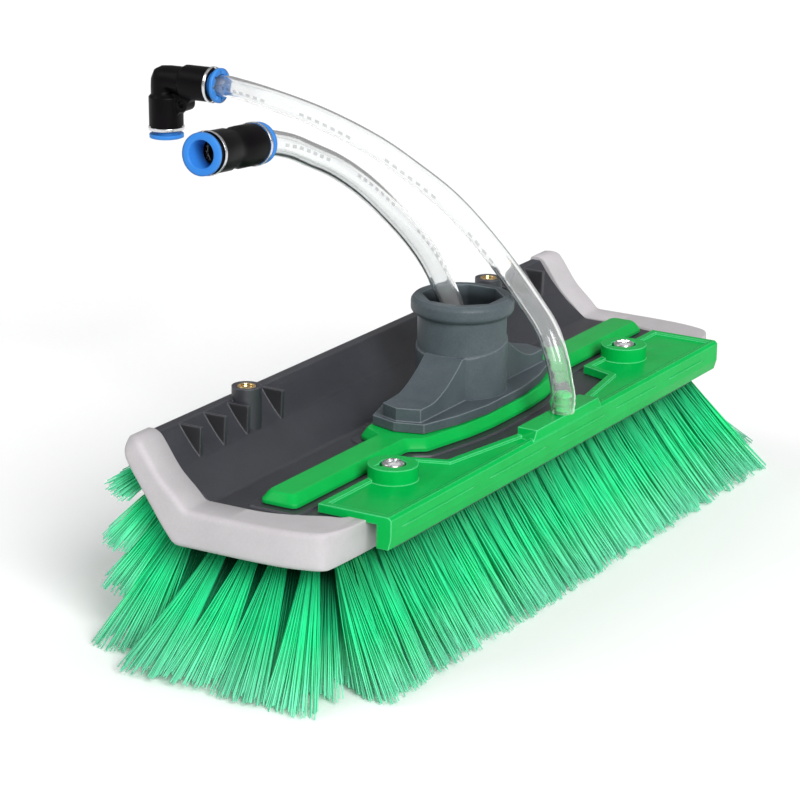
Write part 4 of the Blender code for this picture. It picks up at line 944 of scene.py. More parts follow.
@dataclass(frozen=True)
class Filaments:
    """How the tufts are filled.

    Attributes:
        per_tuft: Filaments in a tuft.
        radius: A filament's radius at its root.
        taper: The share of its radius that a filament loses on its way to its tip.
        root_radius: A tuft's radius at its root.
        tip_half_width: How far a tuft's tips reach from their middle along the brush.
        tuft_stray: How far a whole tuft's tips stray.
        strand_stray: How far one filament's tip strays.
        bow: How far a filament bows outwards, as a share of its length.
        sway: How far a filament's middle strays.
        ragged: The share of its length that a filament may lack.
        tuft_ragged: The share of its length that a whole tuft may lack.
        least_chord: The shortest chord that is counted on when ends are drawn back.
        tuft_tone: The share of a filament's own value that its whole tuft has in common.
        stations: The shares of its length at which a filament has a section.
        sides: How many sides a section has.
    """

    per_tuft: int = 84
    radius: float = 0.00033
    taper: float = 0.30
    root_radius: float = 0.0020
    tip_half_width: float = 0.0044
    tuft_stray: float = 0.0007
    strand_stray: float = 0.0006
    bow: float = 0.035
    sway: float = 0.0004
    ragged: float = 0.05
    tuft_ragged: float = 0.03
    least_chord: float = 0.001
    tuft_tone: float = 0.45
    stations: tuple[float, ...] = (0.0, 0.26, 0.52, 0.78, 1.0)
    sides: int = 3

    def shape(self, tufts: Tufts, low: Array, high: Array, draw: np.random.Generator) -> Shape:
        """All filaments of some tufts.

        A filament's place is a quadratic curve, (1 - s)^2 root + 2 s (1 - s) control + s^2 tip,
        whose control point lies a little outside the middle of its chord. Its section is a
        small triangle. Ends that would pass the field's box are drawn back along the chord.

        Args:
            tufts: Where the tufts begin and end.
            low: The lowest corner that the filaments may reach.
            high: The highest corner that the filaments may reach.
            draw: The source of random numbers.

        Returns:
            The filaments as one shape, with values along, strand and covered.
        """
        count = (len(tufts.roots), self.per_tuft)
        x_axis = np.array((1.0, 0.0, 0.0))
        turn = draw.uniform(0, 2 * math.pi, count)
        reach = np.sqrt(draw.uniform(0, 1, count))
        across = (reach * np.cos(turn))[..., None]
        along = (reach * np.sin(turn))[..., None]
        root = tufts.roots[:, None] + self.root_radius * (across * x_axis + along * tufts.root_axes[:, None])
        stray = (draw.normal(0, self.tuft_stray, (count[0], 1, 3))
                 + draw.normal(0, self.strand_stray, (*count, 3)))
        tip = (tufts.tips[:, None] + self.tip_half_width * across * x_axis + stray
               + tufts.depths[:, None, None] * along * tufts.tip_axes[:, None])
        short = (1 - self.ragged * draw.uniform(0, 1, (*count, 1)) ** 2
                 - self.tuft_ragged * draw.uniform(0, 1, (count[0], 1, 1)))
        tip = root + (tip - root) * short
        inside = np.clip(tip, low + self.radius, high - self.radius)
        passed = np.abs(tip - inside) / np.maximum(np.abs(tip - root), self.least_chord)
        tip = root + (tip - root) * (1 - passed.max(axis=-1, keepdims=True))
        chord = tip - root
        length = np.linalg.norm(chord, axis=-1, keepdims=True)
        control = (root + 0.5 * chord + self.bow * length * tufts.outward[:, None]
                   + draw.normal(0, self.sway, (*count, 3)))
        s = np.array(self.stations)[None, None, :, None]
        middle = ((1 - s) ** 2 * root[:, :, None] + 2 * s * (1 - s) * control[:, :, None]
                  + s ** 2 * tip[:, :, None])
        forward = chord / length
        side = unit(np.cross(forward, x_axis))
        other = np.cross(forward, side)
        spin = draw.uniform(0, 2 * math.pi, (*count, 1)) + even_turn(self.sides)
        ring = np.cos(spin)[..., None] * side[:, :, None] + np.sin(spin)[..., None] * other[:, :, None]
        thick = self.radius * (1 - self.taper * s)
        points = middle[:, :, :, None] + thick[..., None] * ring[:, :, None]
        stations = len(self.stations)
        size = stations * self.sides
        starts = (np.arange(count[0] * count[1]) * size)[:, None, None]
        sleeve = (starts + grid_faces(stations, self.sides, False, True)[None]).reshape(-1, 4)
        cap = starts[:, :, 0] + (size - self.sides + np.arange(self.sides))
        ones = np.ones((*count, stations, self.sides))
        tone = (self.tuft_tone * draw.uniform(0, 1, (count[0], 1, 1, 1))
                + (1 - self.tuft_tone) * draw.uniform(0, 1, (*count, 1, 1)))
        values = {"along": (ones * np.array(self.stations)[:, None]).ravel(),
                  "strand": (ones * tone).ravel(),
                  "covered": (ones * tufts.covered[:, None, None, None]).ravel()}
        return Shape(points.reshape(-1, 3), (sleeve, cap), values)


@dataclass(frozen=True)
class BristleField:
    """The brush's tufts: a flat field under the base and a sloping one behind it.

    The rows' places are the CAD source's own.
    """

    half_length: float = 0.1235
    columns: int = 34
    # The base's rows where they leave the stock, and how far each row's outer tufts lean outwards
    base_front: float = -0.0303
    base_pitch: float = 0.0101
    base_fans: tuple[float, ...] = (0.0170, 0.0450, 0.0450, 0.0450, 0.0440)
    # The same for the wing's rows, by distance up its underside
    wing_start: float = 0.0022
    wing_pitch: float = 0.0067
    wing_fans: tuple[float, ...] = (0.0270, 0.0188, 0.0188, 0.0188)
    # The underside of the stock
    heel_y: float = 0.0240
    depth: float = 0.0110
    slope_run: float = 0.0173
    slope_rise: float = 0.0248
    # Where the rows end, and how far a tuft's tips reach from their middle
    reach: float = 0.0490
    front_tip: float = -0.0500
    base_tip_pitch: float = 0.0180
    base_tip_depth: float = 0.0065
    heel_tip_y: float = 0.0415
    heel_tip_depth: float = 0.0080
    wing_tip_y: float = 0.0490
    wing_tip_top: float = 0.0005
    wing_tip_pitch: float = 0.0165
    wing_tip_depth: float = 0.0035
    tip_half_width: float = 0.0029
    # The backing, whose front steps back at its ends
    slice_thickness: float = 0.0025
    nose_start: float = 0.1050
    nose_step: float = 0.0030
    backing_edge: float = 0.0003
    # How far every second row is shifted, how much wider than in the source the tips
    # spread, and how suddenly the rows' ends lean outwards
    stagger: float = 0.0007
    spread: float = 1.55
    fan_power: int = 3
    filaments: Filaments = Filaments()

    @property
    def slope(self) -> float:
        """The angle of the wing's underside."""
        return math.atan2(self.slope_rise, self.slope_run)

    @property
    def lean(self) -> float:
        """The angle at which the wing's tips spread."""
        return math.atan2(self.heel_y, self.reach)

    def column_places(self, rows: int) -> tuple[Array, Array, Array]:
        """Where the tufts of a field stand in their rows.

        Args:
            rows: How many rows the field has.

        Returns:
            The X, the row number and the sideways shift of each tuft.
        """
        pitch = 2 * self.half_length / self.columns
        column_x = -self.half_length + pitch * (np.arange(self.columns) + 0.5)
        x, row = (part.ravel() for part in np.meshgrid(column_x, np.arange(rows), indexing="ij"))
        return x, row, self.stagger * np.where(row % 2, 1, -1)

    def fanned(self, x: Array, fans: Array) -> Array:
        """Where tufts rooted at X end: the outer columns lean outwards."""
        return x + np.sign(x) * fans * (np.abs(x) / self.half_length) ** self.fan_power

    def covered(self, x: Array, behind: Array) -> Array:
        """1 for the tufts of inner rows that don't stand at the brush's ends, and 0 for the others; the first
        get painted shade at their roots.
        """
        return (behind & (np.abs(x) < self.half_length * (1 - 2 / self.columns))).astype(float)

    def slope_points(self, along: Array, inward: float = 0.0) -> Array:
        """Y and Z on the wing's underside.

        Args:
            along: The distances up the slope.
            inward: How far into the stock the points lie.

        Returns:
            One row of Y, Z per distance.
        """
        y = self.heel_y + along * math.cos(self.slope) - inward * math.sin(self.slope)
        z = -self.depth + along * math.sin(self.slope) + inward * math.cos(self.slope)
        return np.stack([y, z], axis=-1)

    def base_tufts(self) -> Tufts:
        """The tufts under the flat base.

        Returns:
            All of them.
        """
        x, row, shift = self.column_places(len(self.base_fans))
        level = np.ones_like(x)
        root_y = self.base_front + self.base_pitch * (row + 0.5)
        roots = np.stack([x + shift, root_y, -self.depth * level], axis=1)
        end = self.fanned(x, np.array(self.base_fans)[row])
        tip_y = self.front_tip + row * self.base_tip_pitch
        tips = np.stack([end + shift, tip_y, -self.reach * level], axis=1)
        axes = np.tile((0.0, 1.0, 0.0), (len(x), 1))
        return Tufts(roots, tips, axes, axes, self.spread * self.base_tip_depth * level,
                     np.tile((0.0, 0.0, -1.0), (len(x), 1)), self.covered(x, row > 0))

    def wing_tufts(self) -> Tufts:
        """The tufts under the sloping wing, whose first row ends on the floor.

        Returns:
            All of them.
        """
        rows = len(self.wing_fans)
        x, row, shift = self.column_places(rows)
        heel = row == 0
        up_slope = self.wing_start + self.wing_pitch * (row + 0.5)
        roots = np.column_stack([x + shift, self.slope_points(up_slope)])
        end = self.fanned(x, np.array(self.wing_fans)[row])
        height = np.where(heel, -self.reach, self.wing_tip_top - (rows - 1 - row) * self.wing_tip_pitch)
        tips = np.stack([end + shift, np.where(heel, self.heel_tip_y, self.wing_tip_y), height], axis=1)
        root_axes = np.tile((0.0, math.cos(self.slope), math.sin(self.slope)), (len(x), 1))
        tip_axes = np.where(heel[:, None], (0.0, 1.0, 0.0), (0.0, math.cos(self.lean), math.sin(self.lean)))
        depths = self.spread * np.where(heel, self.heel_tip_depth, self.wing_tip_depth)
        outward = np.tile((0.0, math.sin(self.slope), -math.cos(self.slope)), (len(x), 1))
        return Tufts(roots, tips, root_axes, tip_axes, depths, outward, self.covered(x, row < rows - 1))

    def backing(self) -> tuple[Shape, Shape]:
        """The two slices of the stock that hold the roots.

        Returns:
            The base's slice and the wing's.
        """
        front = self.base_front + self.nose_step
        back = self.base_front + len(self.base_fans) * self.base_pitch
        outline = np.array([(self.half_length, front), (self.half_length, back), (-self.half_length, back),
                            (-self.half_length, front), (-self.nose_start, front),
                            (-self.nose_start + self.nose_step, self.base_front),
                            (self.nose_start - self.nose_step, self.base_front), (self.nose_start, front)])
        count = len(outline)
        ends = [np.column_stack([outline, np.full(count, height)])
                for height in (-self.depth, -self.depth + self.slice_thickness)]
        ring = np.arange(count)[None, :]
        base = Shape(np.vstack(ends), (grid_faces(2, count, False, True), ring[:, ::-1], ring + count))
        along = np.array((self.wing_start, self.wing_start + len(self.wing_fans) * self.wing_pitch))
        outer = self.slope_points(along)
        inner = self.slope_points(along, self.slice_thickness)
        wing = box_shape((-self.half_length, 0, 0), (self.half_length, 1, 1))
        corners = wing.points.copy()
        second = corners[:, 1].astype(int)
        deep = corners[:, 2].astype(int)
        corners[:, 1:] = np.where(deep[:, None] == 1, inner[second], outer[second])
        return base, Shape(corners, wing.faces)

    def build(self, shop: Workshop) -> None:
        """Builds the filaments and their backing.

        Args:
            shop: Where pieces are made.
        """
        last_column = self.half_length * (1 - 1 / self.columns)
        end = self.fanned(last_column, max(self.base_fans)) + self.tip_half_width
        low = np.array((-end, self.front_tip - self.base_tip_depth, -self.reach))
        high = np.array((end, self.wing_tip_y + self.wing_tip_depth * math.cos(self.lean), self.reach))
        base_back, wing_back = self.backing()
        fields = {"base": (self.base_tufts(), base_back), "wing": (self.wing_tufts(), wing_back)}
        for index, (field_name, (tufts, back)) in enumerate(fields.items()):
            backing = shop.surface(f"{field_name}_bristle_backing", back, Finish.STOCK, "brush")
            soften(backing, self.backing_edge, 2)
            for side, mask in (("left", tufts.roots[:, 0] < 0), ("right", tufts.roots[:, 0] >= 0)):
                draw = np.random.default_rng(SEED + 2 * index + (side == "right"))
                shape = self.filaments.shape(tufts.chosen(mask), low, high, draw)
                shop.surface(f"{field_name}_filaments_{side}", shape, Finish.BRISTLE, "brush",
                             [f"{field_name}_bristles"], 180.0)


# Hoses


@dataclass(frozen=True)
class Hose:
    """A clear hose from its barb to its fitting.

    Attributes:
        name: Its CAD node.
        barb: Where it starts, on its barb.
        route: The points it passes through, the same as in the CAD source.
        mouth: The fitting's mouth.
        direction: The way into the fitting.
        fitting: The name that its fitting's pieces begin with.
        radius: Its outer radius.
        bore: Its inner radius.
        straight: How far it goes straight up from its start.
        collet_reach: How far the fitting's collet stands out of the mouth.
        stop_depth: How far behind the mouth the hose's stop is.
        step: The distance between two sections.
        flare: How far it swells over its barb.
        flare_length: How far from its start the swelling ends.
        ridge_pitch: The distance from one of the barb's ridges to the next.
        ridge_share: How strongly the swelling follows the ridges.
        upright: Where its direction is this near to straight up, its section isn't levelled.
        sides: How many sides a section has.
    """

    name: str
    barb: Place
    route: tuple[Place, ...]
    mouth: Place
    direction: Place
    fitting: str
    radius: float = 0.0040
    bore: float = 0.0030
    straight: float = 0.0068
    collet_reach: float = 0.0028
    stop_depth: float = 0.0150
    step: float = 0.0011
    flare: float = 0.00028
    flare_length: float = 0.0086
    ridge_pitch: float = 0.0024
    ridge_share: float = 0.7
    upright: float = 0.2
    sides: int = 40

    def centreline(self) -> Array:
        """The hose's middle line in the stock's frame, from its barb to its stop.

        Returns:
            One row per point, at even distances.
        """
        into = np.array(Vector(self.direction).normalized())
        start = np.array(self.barb) + (0, 0, CLEARANCE)
        entry = np.array(self.mouth) - into * (self.collet_reach + self.radius)
        end = np.array(self.mouth) + into * (self.stop_depth - CLEARANCE)
        knots = [start + (0, 0, self.straight), *map(np.array, self.route), entry]
        free = catmull_rom(knots)
        return even_points(np.vstack([start, free, end]), self.step)

    def build(self, shop: Workshop) -> bpy.types.Object:
        """Builds the hose's outside, inside and ends as one piece.

        A section is a circle about the middle line, turned along it without twist.
        Over the barb the circle swells by a sine of the distance from the start, times
        a faster sine that follows the barb's ridges.

        Args:
            shop: Where pieces are made.

        Returns:
            The hose.
        """
        line = self.centreline()
        tangent = unit(np.gradient(line, axis=0))
        sideways = np.cross(tangent, (0.0, 0.0, 1.0))
        steep = np.linalg.norm(sideways, axis=1) < self.upright
        sideways[steep] = sideways[np.argmax(~steep)]
        sideways = unit(sideways - tangent * np.sum(sideways * tangent, axis=1)[:, None])
        upward = np.cross(sideways, tangent)
        length = distances(line)
        swell = self.flare * np.sin(np.clip(length / self.flare_length, 0, 1) * math.pi)
        swell *= 1 + self.ridge_share * np.sin(length * (2 * math.pi / self.ridge_pitch))
        angle = even_turn(self.sides)
        ring = (np.cos(angle)[None, :, None] * sideways[:, None]
                + np.sin(angle)[None, :, None] * upward[:, None])
        outer = line[:, None] + (self.radius + swell)[:, None, None] * ring
        inner = line[:, None] + (self.bore + swell)[:, None, None] * ring
        count = len(line)
        sleeve = grid_faces(count, self.sides, False, True)
        shift = count * self.sides
        edge = np.arange(self.sides)
        after = (edge + 1) % self.sides
        last = (count - 1) * self.sides
        near = np.stack([edge, shift + edge, shift + after, after], axis=1)
        far = np.stack([last + edge, last + after, shift + last + after, shift + last + edge], axis=1)
        points = np.concatenate([outer.reshape(-1, 3), inner.reshape(-1, 3)])
        around = np.concatenate([np.tile(edge / self.sides, count), np.zeros(shift)])
        distance = np.tile(np.repeat(length, self.sides), 2)
        shape = Shape(points, (sleeve, sleeve[:, ::-1] + shift, near, far),
                      {"along": distance, "around": around})
        made = shop.surface(f"{self.name}_tube", shape, Finish.HOSE, "brush", [self.name], 60.0)
        return made


def catmull_rom(knots: Sequence[Array], steps: int = 24) -> Array:
    """Many points on a smooth curve through the knots, by centripetal Catmull-Rom.

    Args:
        knots: The points to pass through.
        steps: How many points lie between two knots.

    Returns:
        One row per point.
    """
    points = np.array([2 * knots[0] - knots[1], *knots, 2 * knots[-1] - knots[-2]], float)
    gaps = np.sqrt(np.linalg.norm(np.diff(points, axis=0), axis=1))
    times = np.concatenate([[0], np.cumsum(gaps)])
    t0, t1, t2, t3 = (times[i:len(times) - 3 + i, None, None] for i in range(4))
    p0, p1, p2, p3 = (points[i:len(points) - 3 + i, None] for i in range(4))
    t = t1 + (t2 - t1) * (np.arange(steps) / steps)[None, :, None]
    a1 = p0 + (p1 - p0) * (t - t0) / (t1 - t0)
    a2 = p1 + (p2 - p1) * (t - t1) / (t2 - t1)
    a3 = p2 + (p3 - p2) * (t - t2) / (t3 - t2)
    b1 = a1 + (a2 - a1) * (t - t0) / (t2 - t0)
    b2 = a2 + (a3 - a2) * (t - t1) / (t3 - t1)
    curve = b1 + (b2 - b1) * (t - t1) / (t2 - t1)
    return np.vstack([curve.reshape(-1, 3), points[-2]])


def even_points(line: Array, spacing: float) -> Array:
    """Points at even distances along a line, its ends included.

    Args:
        line: One row per point of the line.
        spacing: About how far apart the new points are.

    Returns:
        One row per new point.
    """
    lengths = distances(line)
    targets = np.linspace(0, lengths[-1], max(2, round(lengths[-1] / spacing)) + 1)
    return np.stack([np.interp(targets, lengths, line[:, axis]) for axis in range(3)], axis=1)


OUTER_HOSE = Hose(
    "outer_hose", (0.0, -0.0395, 0.0060),
    ((0.0006, -0.0367, 0.0236), (0.0020, -0.0318, 0.0333), (0.0050, -0.0229, 0.0416),
     (0.0104, -0.0053, 0.0556), (0.0164, 0.0147, 0.0680), (0.0224, 0.0345, 0.0757),
     (0.0275, 0.0514, 0.0810), (0.0360, 0.0799, 0.0863), (0.0446, 0.1099, 0.0890)),
    (0.0523, 0.1357, 0.0888), (-0.02, 1.0, -0.02), "elbow_")
INNER_HOSE = Hose(
    "inner_hose", (0.0, 0.0, 0.0096),
    ((-0.0001, 0.0006, 0.0250), (-0.0024, 0.0016, 0.0353), (-0.0075, 0.0026, 0.0446),
     (-0.0165, 0.0030, 0.0560), (-0.0270, 0.0030, 0.0660), (-0.0440, 0.0030, 0.0793),
     (-0.0610, 0.0030, 0.0910), (-0.0780, 0.0030, 0.1005), (-0.0940, 0.0030, 0.1075),
     (-0.1055, 0.0030, 0.1122)),
    (-0.1258, 0.0029, 0.1168), (-0.9945, -0.052, 0.092), "union_")


# Push-fit fittings


@dataclass(frozen=True)
class BarbRidges:
    """The three ridges of the plate's barb, which show through the outer hose's end.

    Attributes:
        core: The barb's radius between its ridges.
        ridge: The ridges' radius.
        bore: The radius of the barb's bore.
        pitch: The distance from ridge to ridge.
        shares: The shares of that distance at which a ridge begins to rise, is full and ends.
        end: How far the barb goes on after its last ridge.
        rounding: How far from a corner its curve begins.
        round_steps: How many pieces that curve has.
        count: How many ridges there are.
        sides: How many steps make a full turn.
    """

    core: float = 0.00215
    ridge: float = 0.00295
    bore: float = 0.0012
    pitch: float = 0.0024
    shares: tuple[float, float, float] = (0.25, 0.40, 0.50)
    end: float = 0.0002
    rounding: float = 0.00015
    round_steps: int = 3
    count: int = 3
    sides: int = 48

    def build(self, shop: Workshop) -> None:
        """Builds the ridges about the outer hose's start.

        Args:
            shop: Where pieces are made.
        """
        profile = []
        for index in range(self.count):
            start = index * self.pitch
            rise, full, drop = (start + share * self.pitch for share in self.shares)
            profile += [(self.core, start), (self.core, rise), (self.ridge, full), (self.ridge, drop)]
        top = self.count * self.pitch + self.end
        profile += [(self.core, top), (self.bore, top), (self.bore, 0.0)]
        shape = revolved(rounded_profile(profile, self.rounding, self.round_steps), self.sides, True)
        shop.surface("rinse_barb_ridges", shape.shifted(OUTER_HOSE.barb), Finish.PLATE, "brush")


@dataclass(frozen=True)
class Port:
    """One mouth of a fitting: its frame has +Z into the body."""

    name: str
    body: str
    frame: Matrix
    # The collet: how far it stands out, its flange, its sleeve and the rings of its face
    collet_reach: float = 0.0028
    flange: float = 0.0016
    flange_radius: float = 0.0065
    collet_radius: float = 0.0048
    sleeve: float = 0.0060
    inner: float = 0.0043
    face_radii: tuple[float, ...] = (0.0050, 0.0054, 0.0057, 0.0060)
    collet_edge: float = 0.00035
    # The band
    band_inner: float = 0.0062
    band_radius: float = 0.0068
    band_width: float = 0.0015
    band_edge: float = 0.0002
    # The collet's slots: a slot's walls lie between two values of a cosine of the angle, its
    # end between two radii, and it goes no deeper than the limit in front of the flange's back
    slots: int = 0
    slot_depth: float = 0.0012
    slot_wave: Span = (0.55, 0.75)
    slot_end: Span = (0.0054, 0.0057)
    slot_limit: float = 0.0004
    sides: int = 96
    smooth_angle: float = 50.0

    def build(self, shop: Workshop) -> None:
        """Builds the collet with its slots, and the band.

        The collet's face steps back by a smooth wave of the angle.

        Args:
            shop: Where pieces are made.
        """
        face = -self.collet_reach
        step = face + self.flange

        def slotted(radii: Array, heights: Array, angles: Array) -> tuple[Array, Array]:
            """Cuts the slots into the collet's face, inside its rim.

            Args:
                radii: The radius of each point.
                heights: The height of each point.
                angles: The angle of each point.

            Returns:
                The new radii and heights.
            """
            wave = np.cos(angles * self.slots)
            end, start = self.slot_end[1], self.slot_end[0]
            cut = smoothstep(wave, *self.slot_wave) * smoothstep(-radii, -end, -start) * (self.slots > 0)
            return radii, np.where(heights < step - self.slot_limit, heights + self.slot_depth * cut, heights)

        ring = [(self.inner, face + self.band_edge), (self.inner + self.band_edge, face)]
        ring += [(radius, face) for radius in self.face_radii]
        flange = [(self.flange_radius, face), (self.flange_radius, step), (self.collet_radius, step),
                  (self.collet_radius, self.sleeve)]
        profile = ring + rounded_profile(flange, self.collet_edge) + [(self.inner, self.sleeve)]
        collet = revolved(profile, self.sides, True, slotted).placed(self.frame)
        node = f"{self.name}_collet"
        shop.surface(f"{node}_detail", collet, Finish.COLLET, shop.body_of(node), [node], self.smooth_angle)

        inner = self.band_inner + CLEARANCE
        corners = [(inner, CLEARANCE), (self.band_radius, CLEARANCE), (self.band_radius, self.band_width),
                   (inner, self.band_width)]
        band = revolved(rounded_profile(corners, self.band_edge), self.sides, True).placed(self.frame)
        node = f"{self.name}_band"
        shop.surface(f"{node}_detail", band, Finish.STEEL, self.body, [node], self.smooth_angle)


def mouth_frame(mouth: Sequence[float], direction: Sequence[float]) -> Matrix:
    """A frame at a mouth, with +X as near to downwards as it can be.

    Args:
        mouth: Where the mouth is.
        direction: The way into the fitting.

    Returns:
        A matrix with +Z into the fitting.
    """
    z_axis = Vector(direction).normalized()
    down = Vector((0, 0, -1))
    x_axis = (down - z_axis * down.dot(z_axis)).normalized()
    turn = Matrix((x_axis, z_axis.cross(x_axis), z_axis)).transposed().to_4x4()
    return Matrix.Translation(mouth) @ turn


@dataclass(frozen=True)
class Fitting:
    """A push-fit fitting with two ports.

    Attributes:
        name: What the names of its nodes begin with.
        frame: Where its mouth for the hose is.
        free_port: Where its free mouth is, seen from the other.
        hose_slots: How many slots the hose's collet has.
        body_edge: How wide the body's rounded edges are.
    """

    name: str
    frame: Matrix
    free_port: Matrix
    hose_slots: int = 0
    body_edge: float = 0.00035

    def build(self, shop: Workshop) -> None:
        """Builds the body, its ports and what is inside them.

        Args:
            shop: Where pieces are made.
        """
        shop.refined(f"{self.name}_body", Finish.FITTING, self.body_edge)
        for end, local, slots in (("hose", Matrix.Identity(4), self.hose_slots), ("free", self.free_port, 0)):
            Port(f"{self.name}_{end}", self.name, self.frame @ local, slots=slots).build(shop)
            shop.keep(f"{self.name}_{end}_grab_ring", Finish.STEEL)
            shop.keep(f"{self.name}_{end}_seal", Finish.SEAL)


@dataclass(frozen=True)
class FittingSizes:
    """The lengths of the two fittings, and how many slots the collet on the elbow's hose has."""

    elbow_arm: float = 0.0218
    elbow_free_arm: float = 0.0190
    elbow_slots: int = 8
    union_length: float = 0.0345

    def fittings(self) -> tuple[Fitting, Fitting]:
        """The fittings at the ends of the hoses.

        Returns:
            The elbow and the union.
        """
        turn = Matrix.Rotation(-math.pi / 2, 4, "Y")
        elbow = Fitting("elbow", mouth_frame(OUTER_HOSE.mouth, OUTER_HOSE.direction),
                        Matrix.Translation((self.elbow_free_arm, 0, self.elbow_arm)) @ turn, self.elbow_slots)
        length = self.union_length - 2 * OUTER_HOSE.collet_reach
        flip = Matrix.Translation((0, 0, length)) @ Matrix.Rotation(math.pi, 4, "X")
        return elbow, Fitting("union", mouth_frame(INNER_HOSE.mouth, INNER_HOSE.direction), flip)


# Screws and inserts


@dataclass(frozen=True)
class PlateScrew:
    """A pan-head screw with a cross recess."""

    # Its place, and its head, whose flank is given in shares of its radius and height, and
    # whose dome has rings from one share of its radius to another, so many to a run
    x: float = 0.0817
    y: float = -0.0214
    seat: float = 0.0059
    radius: float = 0.0037
    head: float = 0.0027
    rim: float = 0.62
    flank: tuple[Span, ...] = ((1.0, 0.3), (1.0, 0.05), (0.4, 0.0))
    rings: tuple[tuple[float, float, int], ...] = ((0.02, 0.8, 30), (0.82, 1.0, 10))
    sides: int = 128
    # The cross: its depth, its arms and their walls, and the shares of the head that it cuts
    recess: float = 0.0013
    arm: float = 0.0024
    arm_end: float = 0.75
    half_width: float = 0.00052
    wall: float = 1.5
    cut_span: Span = (0.4, 0.6)
    # The shank's profile, and how far the left and the right screw are turned
    shank: tuple[Span, ...] = ((0.0019, -0.0008), (0.0019, -0.0100), (0.0004, -0.0110))
    shank_sides: int = 24
    turns: Span = (0.3, 0.9)

    def head_shape(self, turn: float) -> Shape:
        """The head: a dome, 1 - (r / R)^4 high, less a cross with sloping walls.

        Args:
            turn: How far the cross is turned.

        Returns:
            The head, its seat at zero.
        """
        shares = np.concatenate([np.linspace(*run) for run in self.rings])
        dome = [(self.radius * share, self.head * (self.rim + (1 - self.rim) * (1 - share ** 4)))
                for share in shares]
        flank = [(self.radius * out, self.head * up) for out, up in self.flank]

        def crossed(radii: Array, heights: Array, angles: Array) -> tuple[Array, Array]:
            """Sinks the cross into the dome.

            Args:
                radii: The radius of each point.
                heights: The height of each point.
                angles: The angle of each point.

            Returns:
                The new radii and heights.
            """
            x = np.abs(radii * np.cos(angles + turn))
            y = np.abs(radii * np.sin(angles + turn))
            arms = [smoothstep(-off, -self.wall * self.half_width, -self.half_width)
                    * smoothstep(-out, -self.arm, -self.arm_end * self.arm) for out, off in ((x, y), (y, x))]
            upper = smoothstep(heights, self.cut_span[0] * self.head, self.cut_span[1] * self.head)
            return radii, heights - self.recess * np.maximum(*arms) * upper

        return revolved(dome + flank, self.sides, False, crossed)

    def build(self, shop: Workshop) -> None:
        """Builds both screws, whose shanks end in the inserts.

        Args:
            shop: Where pieces are made.
        """
        for side, sign, turn in zip(("left", "right"), (-1, 1), self.turns):
            node = f"plate_screw_{side}"
            place = (sign * self.x, self.y, self.seat)
            screw = joined([self.head_shape(turn), revolved(self.shank, self.shank_sides)])
            shop.surface(f"{node}_detail", screw.shifted(place), Finish.STEEL, "brush", [node], 45.0)


@dataclass(frozen=True)
class Insert:
    """A brass insert with a threaded bore. Its places are those of the right inserts' tops."""

    radius: float = 0.0032
    bore: float = 0.0023
    length: float = 0.0064
    chamfer: float = 0.0002
    pitch: float = 0.0008
    thread: float = 0.00022
    levels: int = 66
    sides: int = 48
    places: tuple[tuple[str, Place], ...] = (
        ("rear", (0.0813, 0.0346, 0.0240)), ("front", (0.0817, -0.0214, 0.0)))

    def shape(self) -> Shape:
        """The insert: its bore's radius follows a wave of height / pitch - angle / 2 pi.

        Returns:
            The insert, standing on zero.
        """
        bore = [(self.bore, level) for level in np.linspace(self.length, 0.0, self.levels)]
        rest = [(self.radius, 0.0), (self.radius, self.length - self.chamfer),
                (self.radius - self.chamfer, self.length)]

        def threaded(radii: Array, heights: Array, angles: Array) -> tuple[Array, Array]:
            """Cuts the thread into the bore.

            Args:
                radii: The radius of each point.
                heights: The height of each point.
                angles: The angle of each point.

            Returns:
                The new radii and heights.
            """
            phase = heights[:self.levels] / self.pitch - angles[:self.levels] / (2 * math.pi)
            radii = radii.copy()
            radii[:self.levels] += self.thread * (np.abs(2 * (phase % 1) - 1) - 0.5)
            return radii, heights

        return revolved(bore + rest, self.sides, True, threaded)

    def build(self, shop: Workshop) -> None:
        """Builds the four inserts.

        Args:
            shop: Where pieces are made.
        """
        shape = self.shape()
        for row, (x, y, z) in self.places:
            for side, sign in (("left", -1), ("right", 1)):
                node = f"{row}_insert_{side}"
                place = (sign * x, y, z - self.length)
                shop.surface(f"{node}_detail", shape.shifted(place), Finish.BRASS, "brush", [node])


# The moulded parts


